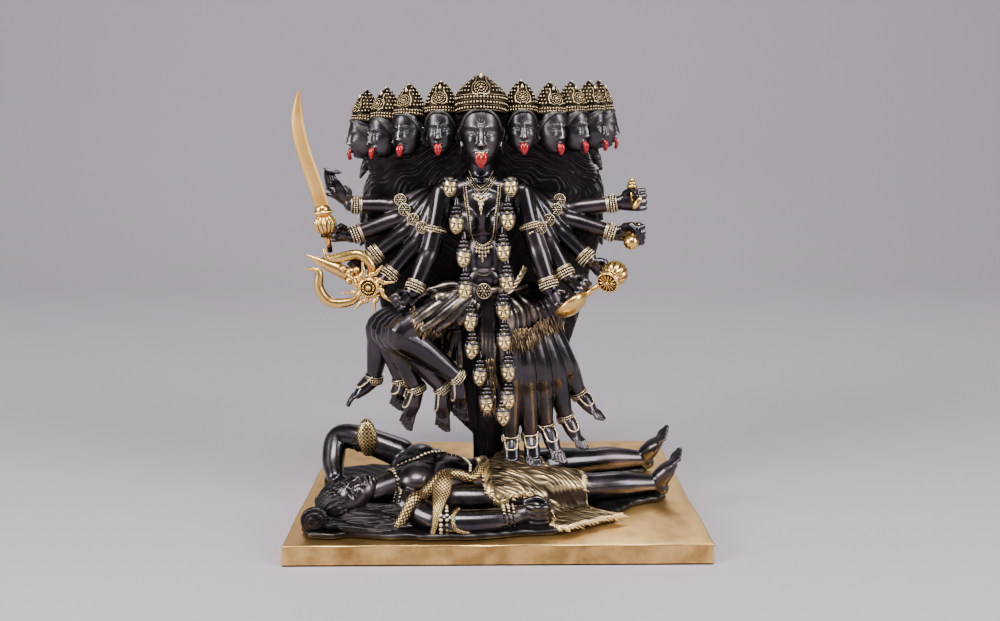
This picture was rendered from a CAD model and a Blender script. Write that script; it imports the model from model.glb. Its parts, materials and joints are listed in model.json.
# %% [markdown]
# # A ten-headed goddess in blackened brass
# The figure is a lost-wax casting about 54 cm high. It was modelled in wax, cast, blackened, and then
# rubbed with a cloth, so bare brass shows wherever the relief stands proud.
# This lesson follows the same order: heap up the wax, melt it into one skin, lay on the ornament,
# and at the end let the height of the relief decide where the metal is black and where it is bright.

# %% The frame
import json
import math
import random
from math import cos, pi, radians, sin

import bmesh
import bpy
import numpy as np
from mathutils import Matrix, Vector
from mathutils.bvhtree import BVHTree

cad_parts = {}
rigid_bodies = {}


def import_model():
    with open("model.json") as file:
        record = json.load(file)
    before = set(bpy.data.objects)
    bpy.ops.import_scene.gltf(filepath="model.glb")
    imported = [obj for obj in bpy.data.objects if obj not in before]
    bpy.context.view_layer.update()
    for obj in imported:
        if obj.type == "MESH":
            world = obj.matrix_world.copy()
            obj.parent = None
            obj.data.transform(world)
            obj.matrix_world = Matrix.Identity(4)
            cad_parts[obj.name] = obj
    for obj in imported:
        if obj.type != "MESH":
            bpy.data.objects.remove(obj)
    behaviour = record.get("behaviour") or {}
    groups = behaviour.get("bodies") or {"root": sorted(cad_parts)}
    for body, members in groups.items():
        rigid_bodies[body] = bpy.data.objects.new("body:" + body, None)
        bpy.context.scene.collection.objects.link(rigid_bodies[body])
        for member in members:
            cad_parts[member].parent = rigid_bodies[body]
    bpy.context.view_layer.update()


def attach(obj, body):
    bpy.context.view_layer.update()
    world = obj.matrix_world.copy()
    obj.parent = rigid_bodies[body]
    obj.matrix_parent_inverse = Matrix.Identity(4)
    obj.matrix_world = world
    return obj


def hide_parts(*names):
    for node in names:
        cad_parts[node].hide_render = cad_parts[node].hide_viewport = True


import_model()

MM = 0.001

# %% [markdown]
# ## Camera
# The viewpoint is solved from the four top corners of the slab. It stands a metre in front, at the
# height of the necklace, and looks down about eleven degrees.

# %% Camera
LOOK_DOWN = math.atan(162.5 / 800)
LOOK_RIGHT = math.atan(8.3 / 800)
camera = bpy.data.objects.new("camera", bpy.data.cameras.new("camera"))
bpy.context.scene.collection.objects.link(camera)
camera.data.sensor_width = 36.0
camera.data.lens = 28.8
camera.location = (-0.0065, -0.9718, 0.4534)
camera.rotation_euler = (pi / 2 - LOOK_DOWN, 0, -LOOK_RIGHT)
bpy.context.scene.camera = camera
print("camera looks down", round(math.degrees(LOOK_DOWN), 1), "degrees")

# %% [markdown]
# ## Wax: balls and rods
# A modeller builds a limb from rolled wax and presses lumps on for muscles. Here each lump is a closed
# ball or a tapered rod, kept in plain arrays. Nothing has to fit exactly, because overlaps vanish later
# when the heap is melted together.

# %% Wax
TEMPLATES = {}


def template(kind, sides):
    """Points and faces of a unit ball or a unit rod, made once and kept."""
    if (kind, sides) not in TEMPLATES:
        shape = bmesh.new()
        if kind == "ball":
            bmesh.ops.create_uvsphere(shape, u_segments=sides, v_segments=max(4, sides // 2), radius=1.0)
        else:
            bmesh.ops.create_cone(shape, cap_ends=True, segments=sides, radius1=1.0, radius2=1.0, depth=1.0)
        points = np.array([v.co[:] for v in shape.verts])
        TEMPLATES[kind, sides] = (points, [[v.index for v in f.verts] for f in shape.faces])
        shape.free()
    return TEMPLATES[kind, sides]


class Wax:
    """A heap of closed shapes in millimetres."""

    def __init__(self):
        self.points = []
        self.faces = []
        self.count = 0

    def add(self, points, faces, place=Matrix()):
        grid = np.array(place)
        self.points.append(np.asarray(points) @ grid[:3, :3].T + grid[:3, 3])
        self.faces += [[self.count + i for i in face] for face in faces]
        self.count += len(points)

    def mesh(self, name):
        made = bpy.data.meshes.new(name)
        made.from_pydata((np.concatenate(self.points) * MM).tolist(), [], self.faces)
        return made


def ball(wax, centre, radii, turn=Matrix(), sides=20):
    points, faces = template("ball", sides)
    wax.add(points, faces, Matrix.Translation(centre) @ turn @ Matrix.Diagonal((*radii, 1.0)))


def rod(wax, start, end, start_radius, end_radius, sides=20):
    start, end = Vector(start), Vector(end)
    along = end - start
    points, faces = template("rod", sides)
    widths = np.where(points[:, 2] < 0, start_radius, end_radius)
    shaped = np.column_stack((points[:, 0] * widths, points[:, 1] * widths, points[:, 2] * along.length))
    wax.add(shaped, faces, Matrix.Translation((start + end) / 2)
            @ along.to_track_quat("Z", "Y").to_matrix().to_4x4())


def smooth_path(points, steps):
    """Points on a Catmull-Rom curve through the given ones, steps to each stretch."""
    points = [Vector(p) for p in points]
    ends = [2 * points[0] - points[1], *points, 2 * points[-1] - points[-2]]
    path = []
    for a, b, c, d in zip(ends, ends[1:], ends[2:], ends[3:]):
        for step in range(steps):
            t = step / steps
            path.append(0.5 * (2 * b + (c - a) * t + (2 * a - 5 * b + 4 * c - d) * t * t
                               + (3 * b - a - 3 * c + d) * t ** 3))
    return path + [points[-1]]


def smooth_values(values, steps):
    return [p.x for p in smooth_path([(v, 0, 0) for v in values], steps)]


def sweep(wax, path, widths, depths=None, face=Vector((0, -1, 0)), sides=20):
    """One closed skin along a path. Its section is an ellipse, depths measured towards face."""
    path = [Vector(p) for p in path]
    depths = depths or widths
    rings = []
    across = None
    for number, point in enumerate(path):
        along = (path[min(number + 1, len(path) - 1)] - path[max(number - 1, 0)]).normalized()
        if across is None:
            across = along.cross(face if abs(along.dot(face)) < 0.95 else Vector((0, 0, 1))).normalized()
        across = (across - along * across.dot(along)).normalized()
        deep = across.cross(along)
        rings.append((point, along, across, deep, widths[number], depths[number]))
    first, last = rings[0], rings[-1]
    rounded = []
    for share in (0.98, 0.7, 0.35):
        w = math.sqrt(1 - share * share)
        p, a, ac, de, wi, dp = first
        rounded.append((p - a * share * min(wi, dp), a, ac, de, wi * w, dp * w))
    rounded += rings
    for share in (0.35, 0.7, 0.98):
        w = math.sqrt(1 - share * share)
        p, a, ac, de, wi, dp = last
        rounded.append((p + a * share * min(wi, dp), a, ac, de, wi * w, dp * w))
    points, faces = [], []
    for p, a, ac, de, wi, dp in rounded:
        for side in range(sides):
            turn = 2 * pi * side / sides
            points.append(p + ac * cos(turn) * wi + de * sin(turn) * dp)
    for ring in range(len(rounded) - 1):
        for side in range(sides):
            a, b = ring * sides + side, ring * sides + (side + 1) % sides
            faces.append([a, a + sides, b + sides, b])
    faces.append(list(range(sides)))
    top = (len(rounded) - 1) * sides
    faces.append([top + side for side in reversed(range(sides))])
    wax.add([p[:] for p in points], faces)


def limb(wax, joints, radii, steps=6, sides=20):
    """A rounded tapering limb through its joints. Radii has one value for each joint."""
    sweep(wax, smooth_path(joints, steps), smooth_values(radii, steps), sides=sides)


def turned(wax, centre, axis, profile, flutes=0, depth=0.0, sides=64):
    """A turned shape. Profile gives pairs of height along the axis and radius."""
    along = Vector(axis).normalized()
    across = along.orthogonal().normalized()
    third = along.cross(across)
    points = []
    for height, radius in profile:
        for k in range(sides):
            turn = 2 * pi * k / sides
            wide = radius * (1 - depth * (0.5 - 0.5 * cos(flutes * turn)) ** 3)
            points.append(Vector(centre) + along * height + (across * cos(turn) + third * sin(turn)) * wide)
    n = len(profile)
    faces = [[r * sides + k, r * sides + (k + 1) % sides, (r + 1) * sides + (k + 1) % sides,
              (r + 1) * sides + k] for r in range(n - 1) for k in range(sides)]
    faces += [list(range(sides))[::-1], [(n - 1) * sides + k for k in range(sides)]]
    wax.add([p[:] for p in points], faces)


def melon(radius, tall, steps=16):
    """The profile of a squashed ball."""
    return [(-tall * cos(pi * k / steps), max(0.3, radius * sin(pi * k / steps)))
            for k in range(steps + 1)]


print("wax tools ready")

# %% [markdown]
# ## From wax to skin
# A voxel remesh reads the heap as one volume and gives it one even skin, which is what pouring metal
# does to a wax heap. A few rounds of averaging take away the steps. The same averaging, carried
# further, tells how far each point stands above its surroundings. That number is stored on the mesh as
# "relief", and later the finishes read it: high points are rubbed bright, low ones stay black.

# %% Skin
def arrays(mesh):
    co = np.empty(len(mesh.vertices) * 3)
    mesh.vertices.foreach_get("co", co)
    edges = np.empty(len(mesh.edges) * 2, dtype=np.int64)
    mesh.edges.foreach_get("vertices", edges)
    return co.reshape(-1, 3), edges.reshape(-1, 2)


def averaged(values, edges, rounds, strength=0.5):
    """Each point moves towards the mean of its neighbours, again and again."""
    ends = np.concatenate((edges[:, 0], edges[:, 1]))
    others = np.concatenate((edges[:, 1], edges[:, 0]))
    count = np.maximum(np.bincount(ends, minlength=len(values)), 1)
    for _ in range(rounds):
        mean = np.column_stack([np.bincount(ends, weights=values[others, k], minlength=len(values)) / count
                                for k in range(values.shape[1])])
        values = values + strength * (mean - values)
    return values


def normals_of(mesh):
    out = np.empty(len(mesh.vertices) * 3)
    mesh.vertices.foreach_get("normal", out)
    return out.reshape(-1, 3)


def relief_of(mesh):
    relief = np.empty(len(mesh.vertices))
    mesh.attributes["relief"].data.foreach_get("value", relief)
    return relief


def store_relief(mesh, relief):
    layer = mesh.attributes.get("relief") or mesh.attributes.new("relief", "FLOAT", "POINT")
    layer.data.foreach_set("value", relief)


def mark_relief(mesh, reach=8, span=0.35):
    """Stores how far each point stands out, from 0 in a groove through 0.5 on the flat to 1 on a ridge."""
    co, edges = arrays(mesh)
    proud = ((co - averaged(co, edges, reach)) * normals_of(mesh)).sum(axis=1) / (span * MM)
    store_relief(mesh, np.clip(0.5 + 0.5 * proud, 0.0, 1.0))


def settled(piece):
    """Replaces the mesh by the result of its modifiers."""
    mesh = bpy.data.meshes.new_from_object(piece.evaluated_get(bpy.context.evaluated_depsgraph_get()))
    piece.modifiers.clear()
    old = piece.data
    piece.data = mesh
    bpy.data.meshes.remove(old)


def new_piece(name, mesh):
    piece = bpy.data.objects.new(name, mesh)
    mesh.name = name
    bpy.context.scene.collection.objects.link(piece)
    return piece


def thinned(piece, triangles):
    """Fewer, larger faces where the skin is plain."""
    faces = sum(len(f.vertices) - 2 for f in piece.data.polygons)
    if triangles and faces > triangles:
        piece.modifiers.new("thin", "DECIMATE").ratio = triangles / faces
        settled(piece)


def melt(name, wax, voxel, rounds=3, triangles=None, shape=None):
    """One closed skin from a heap. Shape, if given, moves the skin's points before it is thinned."""
    piece = new_piece(name, wax.mesh(name))
    remesh = piece.modifiers.new("melt", "REMESH")
    remesh.mode = "VOXEL"
    remesh.voxel_size = voxel * MM
    settled(piece)
    co, edges = arrays(piece.data)
    co = averaged(co, edges, rounds)
    piece.data.vertices.foreach_set("co", co.ravel())
    piece.data.update()
    if shape:
        co = shape(co / MM, normals_of(piece.data)) * MM
        piece.data.vertices.foreach_set("co", co.ravel())
        piece.data.update()
    thinned(piece, triangles)
    piece.data.polygons.foreach_set("use_smooth", [True] * len(piece.data.polygons))
    return piece


def as_is(name, wax, smooth=True, triangles=None):
    """A piece whose parts stay as they were laid, for crisp ornament."""
    piece = new_piece(name, wax.mesh(name))
    thinned(piece, triangles)
    piece.data.polygons.foreach_set("use_smooth", [smooth] * len(piece.data.polygons))
    return piece


def skin_tree(co, faces):
    return BVHTree.FromPolygons([tuple(p) for p in co], faces)


def tree_of(mesh):
    """A search tree of a finished mesh, in millimetres."""
    return skin_tree(arrays(mesh)[0] / MM, [tuple(f.vertices) for f in mesh.polygons])


def mark_height(mesh, grounds, low, high):
    """Stores relief as the height above other skins, for ornament that lies on them."""
    co = arrays(mesh)[0] / MM
    away = np.full(len(co), 12.0)
    for ground in grounds:
        away = np.minimum(away, [ground.find_nearest(Vector(p), 12.0)[3] or 12.0 for p in co])
    store_relief(mesh, np.clip((away - low) / (high - low), 0.0, 1.0))


def mark_both(mesh, grounds, low, high, reach=4, span=0.4):
    """Relief of fine ornament: its height above the skin beneath, and darker again in its own grooves."""
    mark_relief(mesh, reach, span)
    groove = relief_of(mesh)
    mark_height(mesh, grounds, low, high)
    store_relief(mesh, relief_of(mesh) * np.clip(2.2 * groove - 0.3, 0, 1))


def finish_piece(piece, material, node="kali", reach=8, span=0.35):
    """Relief, material, body and place in the library. Most pieces are cast with the goddess."""
    if reach:
        mark_relief(piece.data, reach, span)
    piece.data.materials.clear()
    piece.data.materials.append(material)
    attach(piece, "root")
    if node:
        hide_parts(node)
    print(piece.name, sum(len(f.vertices) - 2 for f in piece.data.polygons), "triangles")
    return piece


# %% [markdown]
# ## Ornament that follows a path
# Bead strings, chains and granulated borders are the same small ball set again and again along a line.
# Geometry Nodes do this well: the line is resampled at the bead spacing, a low ball is set on each
# point, and the result is made real. One tree serves every string on the figure.

# %% Beads on a path
def beads_tree():
    tree = bpy.data.node_groups.new("beads on a path", "GeometryNodeTree")
    face = tree.interface
    face.new_socket("Path", in_out="INPUT", socket_type="NodeSocketGeometry")
    for title, start in (("Radius", 0.001), ("Spacing", 0.002)):
        face.new_socket(title, in_out="INPUT", socket_type="NodeSocketFloat").default_value = start
    face.new_socket("Sides", in_out="INPUT", socket_type="NodeSocketInt").default_value = 8
    face.new_socket("Finish", in_out="INPUT", socket_type="NodeSocketMaterial")
    face.new_socket("Beads", in_out="OUTPUT", socket_type="NodeSocketGeometry")
    add = tree.nodes.new
    start = add("NodeGroupInput")
    resample = add("GeometryNodeResampleCurve")
    resample.mode = "LENGTH"
    bead = add("GeometryNodeMeshUVSphere")
    bead.inputs["Rings"].default_value = 5
    put = add("GeometryNodeInstanceOnPoints")
    real = add("GeometryNodeRealizeInstances")
    smooth = add("GeometryNodeSetShadeSmooth")
    paint = add("GeometryNodeSetMaterial")
    end = add("NodeGroupOutput")
    join = tree.links.new
    join(start.outputs["Path"], resample.inputs["Curve"])
    join(start.outputs["Spacing"], resample.inputs["Length"])
    join(resample.outputs["Curve"], put.inputs["Points"])
    join(start.outputs["Radius"], bead.inputs["Radius"])
    join(start.outputs["Sides"], bead.inputs["Segments"])
    join(bead.outputs["Mesh"], put.inputs["Instance"])
    join(put.outputs["Instances"], real.inputs["Geometry"])
    join(real.outputs["Geometry"], smooth.inputs["Geometry"])
    join(smooth.outputs["Geometry"], paint.inputs["Geometry"])
    join(start.outputs["Finish"], paint.inputs["Material"])
    join(paint.outputs["Geometry"], end.inputs["Beads"])
    return tree


BEADS = beads_tree()
BEAD_SOCKETS = {item.name: item.identifier for item in BEADS.interface.items_tree}


def path_curve(name, paths, bevel=0.0, closed=False):
    """A curve object of one spline for each path. Paths are in millimetres."""
    curve = bpy.data.curves.new(name, "CURVE")
    curve.dimensions = "3D"
    for path in paths:
        spline = curve.splines.new("POLY")
        spline.points.add(len(path) - 1)
        for knot, point in zip(spline.points, path):
            knot.co = (*[c * MM for c in point], 1.0)
        spline.use_cyclic_u = closed
    if bevel:
        curve.bevel_depth = bevel * MM
        curve.bevel_resolution = 1
        curve.use_fill_caps = not closed
    return new_curve_object(name, curve)


def new_curve_object(name, curve):
    holder = bpy.data.objects.new(name, curve)
    bpy.context.scene.collection.objects.link(holder)
    return holder


def baked(holder):
    mesh = bpy.data.meshes.new_from_object(holder.evaluated_get(bpy.context.evaluated_depsgraph_get()))
    data = holder.data
    bpy.data.objects.remove(holder)
    bpy.data.curves.remove(data)
    return mesh


def add_mesh(wax, mesh):
    """Takes a finished mesh, in metres, into a heap."""
    co, _ = arrays(mesh)
    if len(co):
        wax.add(co / MM, [list(f.vertices) for f in mesh.polygons])
    bpy.data.meshes.remove(mesh)


def string_beads(wax, paths, radius, spacing=None, sides=8, closed=False):
    """Lays beads along each path."""
    holder = path_curve("string", paths, closed=closed)
    nodes = holder.modifiers.new("beads", "NODES")
    nodes.node_group = BEADS
    nodes[BEAD_SOCKETS["Radius"]] = radius * MM
    nodes[BEAD_SOCKETS["Spacing"]] = (spacing or 1.9 * radius) * MM
    nodes[BEAD_SOCKETS["Sides"]] = sides
    add_mesh(wax, baked(holder))


def wires(wax, paths, radius, closed=False):
    """Lays a round wire along each path."""
    add_mesh(wax, baked(path_curve("wire", paths, radius, closed)))


def circle(centre, along, radius, count=24, start=0.0):
    """Points round a centre, in the plane square to along."""
    turn = Vector(along).normalized().to_track_quat("Z", "Y").to_matrix()
    return [Vector(centre) + turn @ Vector((radius * cos(a), radius * sin(a), 0))
            for a in [start + 2 * pi * k / count for k in range(count)]]


print("bead tree with", len(BEADS.nodes), "nodes")

# %% [markdown]
# ## Finishes
# Three effects are shared, so each is a node group. "Rubbed" turns the stored relief into a mask of
# bare metal. "Mottle" is the cloudy unevenness of a chemical patina. "Grain" is the fine pitting of a
# sand-and-clay mould. The groups give out only masks and heights, and the shaders stay in the materials.

# %% Node groups
def group(name, inputs, outputs):
    tree = bpy.data.node_groups.new(name, "ShaderNodeTree")
    for title, value in inputs.items():
        tree.interface.new_socket(title, in_out="INPUT", socket_type="NodeSocketFloat").default_value = value
    for title in outputs:
        tree.interface.new_socket(title, in_out="OUTPUT", socket_type="NodeSocketFloat")
    return tree, tree.nodes.new("NodeGroupInput"), tree.nodes.new("NodeGroupOutput")


def noise_node(tree, scale, detail=4.0, stretch=None):
    """Noise on the object's own coordinates. Stretch lengthens the pattern along an axis."""
    place = tree.nodes.new("ShaderNodeTexCoord")
    texture = tree.nodes.new("ShaderNodeTexNoise")
    texture.inputs["Detail"].default_value = detail
    if isinstance(scale, bpy.types.NodeSocket):
        tree.links.new(scale, texture.inputs["Scale"])
    else:
        texture.inputs["Scale"].default_value = scale
    if stretch:
        mapping = tree.nodes.new("ShaderNodeMapping")
        mapping.inputs["Scale"].default_value = stretch
        tree.links.new(place.outputs["Object"], mapping.inputs["Vector"])
        tree.links.new(mapping.outputs["Vector"], texture.inputs["Vector"])
    else:
        tree.links.new(place.outputs["Object"], texture.inputs["Vector"])
    return texture.outputs["Fac"]


def math_node(tree, kind, a, b=None, clamp=False):
    node = tree.nodes.new("ShaderNodeMath")
    node.operation = kind
    node.use_clamp = clamp
    for socket, value in zip(node.inputs, (a, b)):
        if isinstance(value, bpy.types.NodeSocket):
            tree.links.new(value, socket)
        elif value is not None:
            socket.default_value = value
    return node.outputs[0]


def span_node(tree, value, low, high, to_low=0.0, to_high=1.0):
    node = tree.nodes.new("ShaderNodeMapRange")
    node.interpolation_type = "SMOOTHSTEP"
    tree.links.new(value, node.inputs["Value"])
    for title, amount in (("From Min", low), ("From Max", high), ("To Min", to_low), ("To Max", to_high)):
        if isinstance(amount, bpy.types.NodeSocket):
            tree.links.new(amount, node.inputs[title])
        else:
            node.inputs[title].default_value = amount
    return node.outputs["Result"]


def make_rubbed():
    tree, start, end = group("rubbed", {"From": 0.55, "To": 0.8, "Patchy": 0.2}, ["Bare"])
    relief = tree.nodes.new("ShaderNodeAttribute")
    relief.attribute_name = "relief"
    patches = math_node(tree, "MULTIPLY", math_node(tree, "SUBTRACT", noise_node(tree, 45.0, 3.0), 0.5),
                        start.outputs["Patchy"])
    height = math_node(tree, "ADD", relief.outputs["Fac"], patches)
    tree.links.new(span_node(tree, height, start.outputs["From"], start.outputs["To"]), end.inputs["Bare"])
    return tree


def make_mottle():
    tree, start, end = group("mottle", {"Scale": 30.0}, ["Cloud"])
    tree.links.new(span_node(tree, noise_node(tree, start.outputs["Scale"], 6.0), 0.35, 0.7),
                   end.inputs["Cloud"])
    return tree


def make_grain():
    tree, start, end = group("grain", {"Scale": 900.0}, ["Height"])
    fine = noise_node(tree, start.outputs["Scale"], 2.0)
    broad = noise_node(tree, 160.0, 3.0)
    tree.links.new(math_node(tree, "ADD", math_node(tree, "MULTIPLY", fine, 0.35),
                             math_node(tree, "MULTIPLY", broad, 0.65)), end.inputs["Height"])
    return tree


RUBBED, MOTTLE, GRAIN = make_rubbed(), make_mottle(), make_grain()
print("shared effects:", [tree.name for tree in (RUBBED, MOTTLE, GRAIN)])


# %% Materials
def place_group(tree, which, **values):
    node = tree.nodes.new("ShaderNodeGroup")
    node.node_tree = which
    for title, value in values.items():
        node.inputs[title].default_value = value
    return node.outputs[0]


def blend_colour(tree, share, low, high):
    node = tree.nodes.new("ShaderNodeMix")
    node.data_type = "RGBA"
    tree.links.new(share, node.inputs["Factor"])
    for socket, value in ((node.inputs[6], low), (node.inputs[7], high)):
        if isinstance(value, bpy.types.NodeSocket):
            tree.links.new(value, socket)
        else:
            socket.default_value = (*value, 1.0)
    return node.outputs[2]


def metal(name, dark, dark_cloud, bright, rub, roughness, bump=0.25, coat=0.0, cloud_scale=30.0,
          grain_scale=900.0, metallic=1.0):
    """Patinated metal: dark in the recesses, bright where it is rubbed. Roughness is (dark, bright)."""
    material = bpy.data.materials.new(name)
    material.use_nodes = True
    tree = material.node_tree
    shader = tree.nodes["Principled BSDF"]
    shader.inputs["Metallic"].default_value = metallic
    shader.inputs["Coat Weight"].default_value = coat
    shader.inputs["Coat Roughness"].default_value = 0.18
    cloud = place_group(tree, MOTTLE, Scale=cloud_scale)
    bare = place_group(tree, RUBBED, **{"From": rub[0], "To": rub[1], "Patchy": rub[2]})
    base = blend_colour(tree, cloud, dark, dark_cloud)
    tree.links.new(blend_colour(tree, bare, base, bright), shader.inputs["Base Color"])
    rough = math_node(tree, "ADD", span_node(tree, bare, 0.0, 1.0, roughness[0], roughness[1]),
                      math_node(tree, "MULTIPLY", cloud, 0.10))
    tree.links.new(rough, shader.inputs["Roughness"])
    height = place_group(tree, GRAIN, Scale=grain_scale)
    lift = tree.nodes.new("ShaderNodeBump")
    lift.inputs["Strength"].default_value = bump
    lift.inputs["Distance"].default_value = 0.0004
    tree.links.new(height, lift.inputs["Height"])
    tree.links.new(lift.outputs["Normal"], shader.inputs["Normal"])
    return material


skin_black = metal("blackened brass", (0.034, 0.031, 0.036), (0.082, 0.064, 0.068), (0.30, 0.265, 0.25),
                   (0.95, 1.35, 0.25), (0.25, 0.32), 0.10, 0.30, cloud_scale=22.0)
face_black = metal("blackened face", (0.050, 0.047, 0.053), (0.100, 0.090, 0.094), (0.50, 0.45, 0.40),
                   (0.74, 1.05, 0.2), (0.33, 0.32), 0.10, 0.15, cloud_scale=40.0)
cloth_black = metal("blackened drapery", (0.022, 0.019, 0.021), (0.060, 0.046, 0.042), (0.62, 0.50, 0.38),
                    (0.55, 0.92, 0.6), (0.26, 0.25), 0.2, 0.25)
hair_black = metal("blackened hair", (0.016, 0.0145, 0.0155), (0.036, 0.031, 0.031), (0.11, 0.098, 0.09),
                   (0.66, 1.15, 0.3), (0.44, 0.40), 0.25, 0.0)
ornament = metal("rubbed ornament", (0.022, 0.018, 0.013), (0.05, 0.038, 0.025), (0.78, 0.62, 0.40),
                 (0.40, 0.95, 0.35), (0.42, 0.28), 0.2)
crown_brass = metal("crown brass", (0.010, 0.008, 0.005), (0.026, 0.017, 0.009), (0.82, 0.62, 0.35),
                    (0.30, 0.90, 0.20), (0.42, 0.26), 0.2)
gold_face = metal("pale gold", (0.035, 0.022, 0.010), (0.11, 0.07, 0.03), (0.92, 0.72, 0.38),
                  (0.42, 0.78, 0.35), (0.42, 0.28), 0.2)
fur_brass = metal("brushed pelt", (0.030, 0.022, 0.015), (0.075, 0.052, 0.032), (0.84, 0.62, 0.33),
                  (0.52, 0.98, 0.45), (0.42, 0.30), 0.3)
tuft_brass = metal("brown fur", (0.035, 0.024, 0.015), (0.10, 0.066, 0.038), (0.50, 0.35, 0.20),
                   (0.70, 1.25, 0.8), (0.40, 0.32), 0.3, cloud_scale=120.0)
held_brass = metal("polished brass", (0.028, 0.014, 0.005), (0.13, 0.064, 0.018), (0.82, 0.52, 0.16),
                   (0.31, 0.64, 0.35), (0.38, 0.21), 0.2, cloud_scale=60.0, metallic=0.97)
blade_brass = metal("brushed blade", (0.52, 0.27, 0.062), (0.70, 0.41, 0.115), (0.90, 0.57, 0.17),
                    (0.30, 0.70, 0.8), (0.46, 0.40), 0.3, cloud_scale=26.0, metallic=0.7)
snake_brass = metal("snake brass", (0.030, 0.020, 0.010), (0.09, 0.055, 0.024), (0.86, 0.62, 0.29),
                    (0.36, 0.85, 0.3), (0.40, 0.28), 0.3)
print(len(bpy.data.materials), "materials")

# %% [markdown]
# ## The skeleton
# Every limb is placed by its joints, in millimetres from the middle of the slab's underside. The
# solids use nearly the same joints, so the fine skin lies where the plain one does.

# %% Joints
TOP = 25.0
MAIN_HEAD = ((-18.5, -11, 468.0), 0, 23.0)
SIDE_HEADS = (
    ((-66, -2, 473), -8, 17.4), ((-105, 6, 471), -30, 17.0), ((-135, 17, 468), -52, 16.8),
    ((-162, 32, 466), -72, 16.6), ((29, -2, 474), 8, 17.4), ((65, 6, 473), 33, 17.0),
    ((92, 17, 475), 48, 16.8), ((116, 32, 477), 62, 16.6), ((131, 52, 479), 82, 16.4))
LEFT_ARMS = (
    ((-64, -20, 402), (-78, -30, 337), (-99, -48, 288), (-120, -54, 275)),
    ((-68, -14, 402), (-91, -18, 349), (-131, -35, 302), (-146, -40, 289)),
    ((-70, -8, 402), (-104, -8, 359), (-151, -20, 325), (-168, -22, 314)),
    ((-72, 0, 402), (-116, 2, 371), (-175, -10, 350), (-194, -15, 354)),
    ((-72, 8, 403), (-125, 13, 384), (-177, 5, 386), (-189, 2, 399)))
RIGHT_ARMS = (
    ((29, -20, 402), (45, -30, 343), (62, -46, 291), (76, -53, 272)),
    ((33, -14, 401), (57, -18, 351), (83, -35, 303), (106, -42, 287)),
    ((36, -8, 401), (70, -8, 360), (111, -22, 321), (128, -24, 309)),
    ((38, 0, 401), (79, 2, 370), (143, -7, 352), (171, -10, 354)),
    ((38, 8, 402), (84, 13, 379), (146, 4, 388), (172, -1, 392)))
BENT_LEGS = (
    ((-30, -16, 275), (-113, -58, 241), (-47, -46, 183), (-44, -48, 130)),
    ((-32, -8, 273), (-124, -44, 239), (-66, -34, 166), (-68, -36, 113)),
    ((-32, -2, 272), (-131, -28, 239), (-99, -20, 161), (-115, -28, 114)),
    ((-32, 4, 271), (-138, -12, 240), (-120, -4, 166), (-127, -14, 135)),
    ((-32, 10, 270), (-144, 4, 240), (-157, 10, 165), (-191, -2, 140)))
STANDING_LEGS = (
    ((6, -12, 272), (15, -30, 188), (17, -22, 97), (18, -54, 71)),
    ((15, -6, 271), (33, -23, 187), (42, -14, 97), (45, -48, 71)),
    ((25, 0, 270), (52, -13, 185), (62, -4, 106), (79, -38, 72)),
    ((34, 8, 268), (69, 0, 184), (88, 6, 114), (110, -16, 82)),
    ((42, 16, 267), (84, 12, 187), (106, 16, 142), (134, -2, 116)))
print(len(LEFT_ARMS) + len(RIGHT_ARMS), "arms,", len(BENT_LEGS) + len(STANDING_LEGS), "legs")

# %% [markdown]
# ## Hands and feet
# A cast hand reads by its knuckles. Each finger is three short swept pieces that bend by the same
# angle at each joint, so one number closes the hand from open to fist.

# %% Hands and feet
def hand(wax, wrist, middle, palm=(0, -1, 0), curl=0.85, size=20.0, thumb_side=1, spread=0.0):
    """Wrist to middle gives its direction, palm the way the fingers close."""
    wrist, along = Vector(wrist), (Vector(middle) - Vector(wrist)).normalized()
    inward = Vector(palm)
    inward = (inward - along * inward.dot(along)).normalized()
    across = along.cross(inward) * thumb_side

    def at(x, y, z):
        return wrist + (across * x + inward * y + along * z) * size

    sweep(wax, [at(0, 0, -0.1), at(0, 0, 0.2), at(0, 0, 0.62), at(0, 0.02, 0.98)],
          [0.29 * size, 0.34 * size, 0.44 * size, 0.45 * size],
          [0.25 * size, 0.24 * size, 0.22 * size, 0.19 * size], face=inward)
    ball(wax, at(0.3, 0.12, 0.42), (0.2 * size, 0.17 * size, 0.2 * size))
    for finger in range(4):
        x = 0.345 - 0.23 * finger
        length = (0.40, 0.44, 0.41, 0.33)[finger]
        bend = 0.0
        point = at(x, 0.02, 0.95)
        path = [point]
        tilt = spread * (1.5 - finger)
        for stretch, part in enumerate((1.0, 0.72, 0.58)):
            bend += radians(88) * curl * (0.8 if stretch == 0 else 1.0)
            step = along * cos(bend) + inward * sin(bend) + across * sin(tilt) * (1 - curl)
            point = point + step.normalized() * length * part * size
            path.append(point)
        sweep(wax, path, [0.125 * size, 0.12 * size, 0.108 * size, 0.09 * size], face=across)
        if curl > 0.5:
            ball(wax, at(x, -0.05, 0.98), (0.13 * size, 0.12 * size, 0.12 * size))
    if curl > 0.5:
        thumb = [at(0.34, 0.14, 0.38), at(0.46, 0.36, 0.66), at(0.28, 0.56, 0.86), at(0.06, 0.58, 0.92)]
    else:
        thumb = [at(0.34, 0.1, 0.36), at(0.6, 0.2, 0.62), at(0.68, 0.3, 0.88), at(0.66, 0.34, 1.06)]
    sweep(wax, thumb, [0.15 * size, 0.135 * size, 0.12 * size, 0.09 * size], face=inward)


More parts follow.
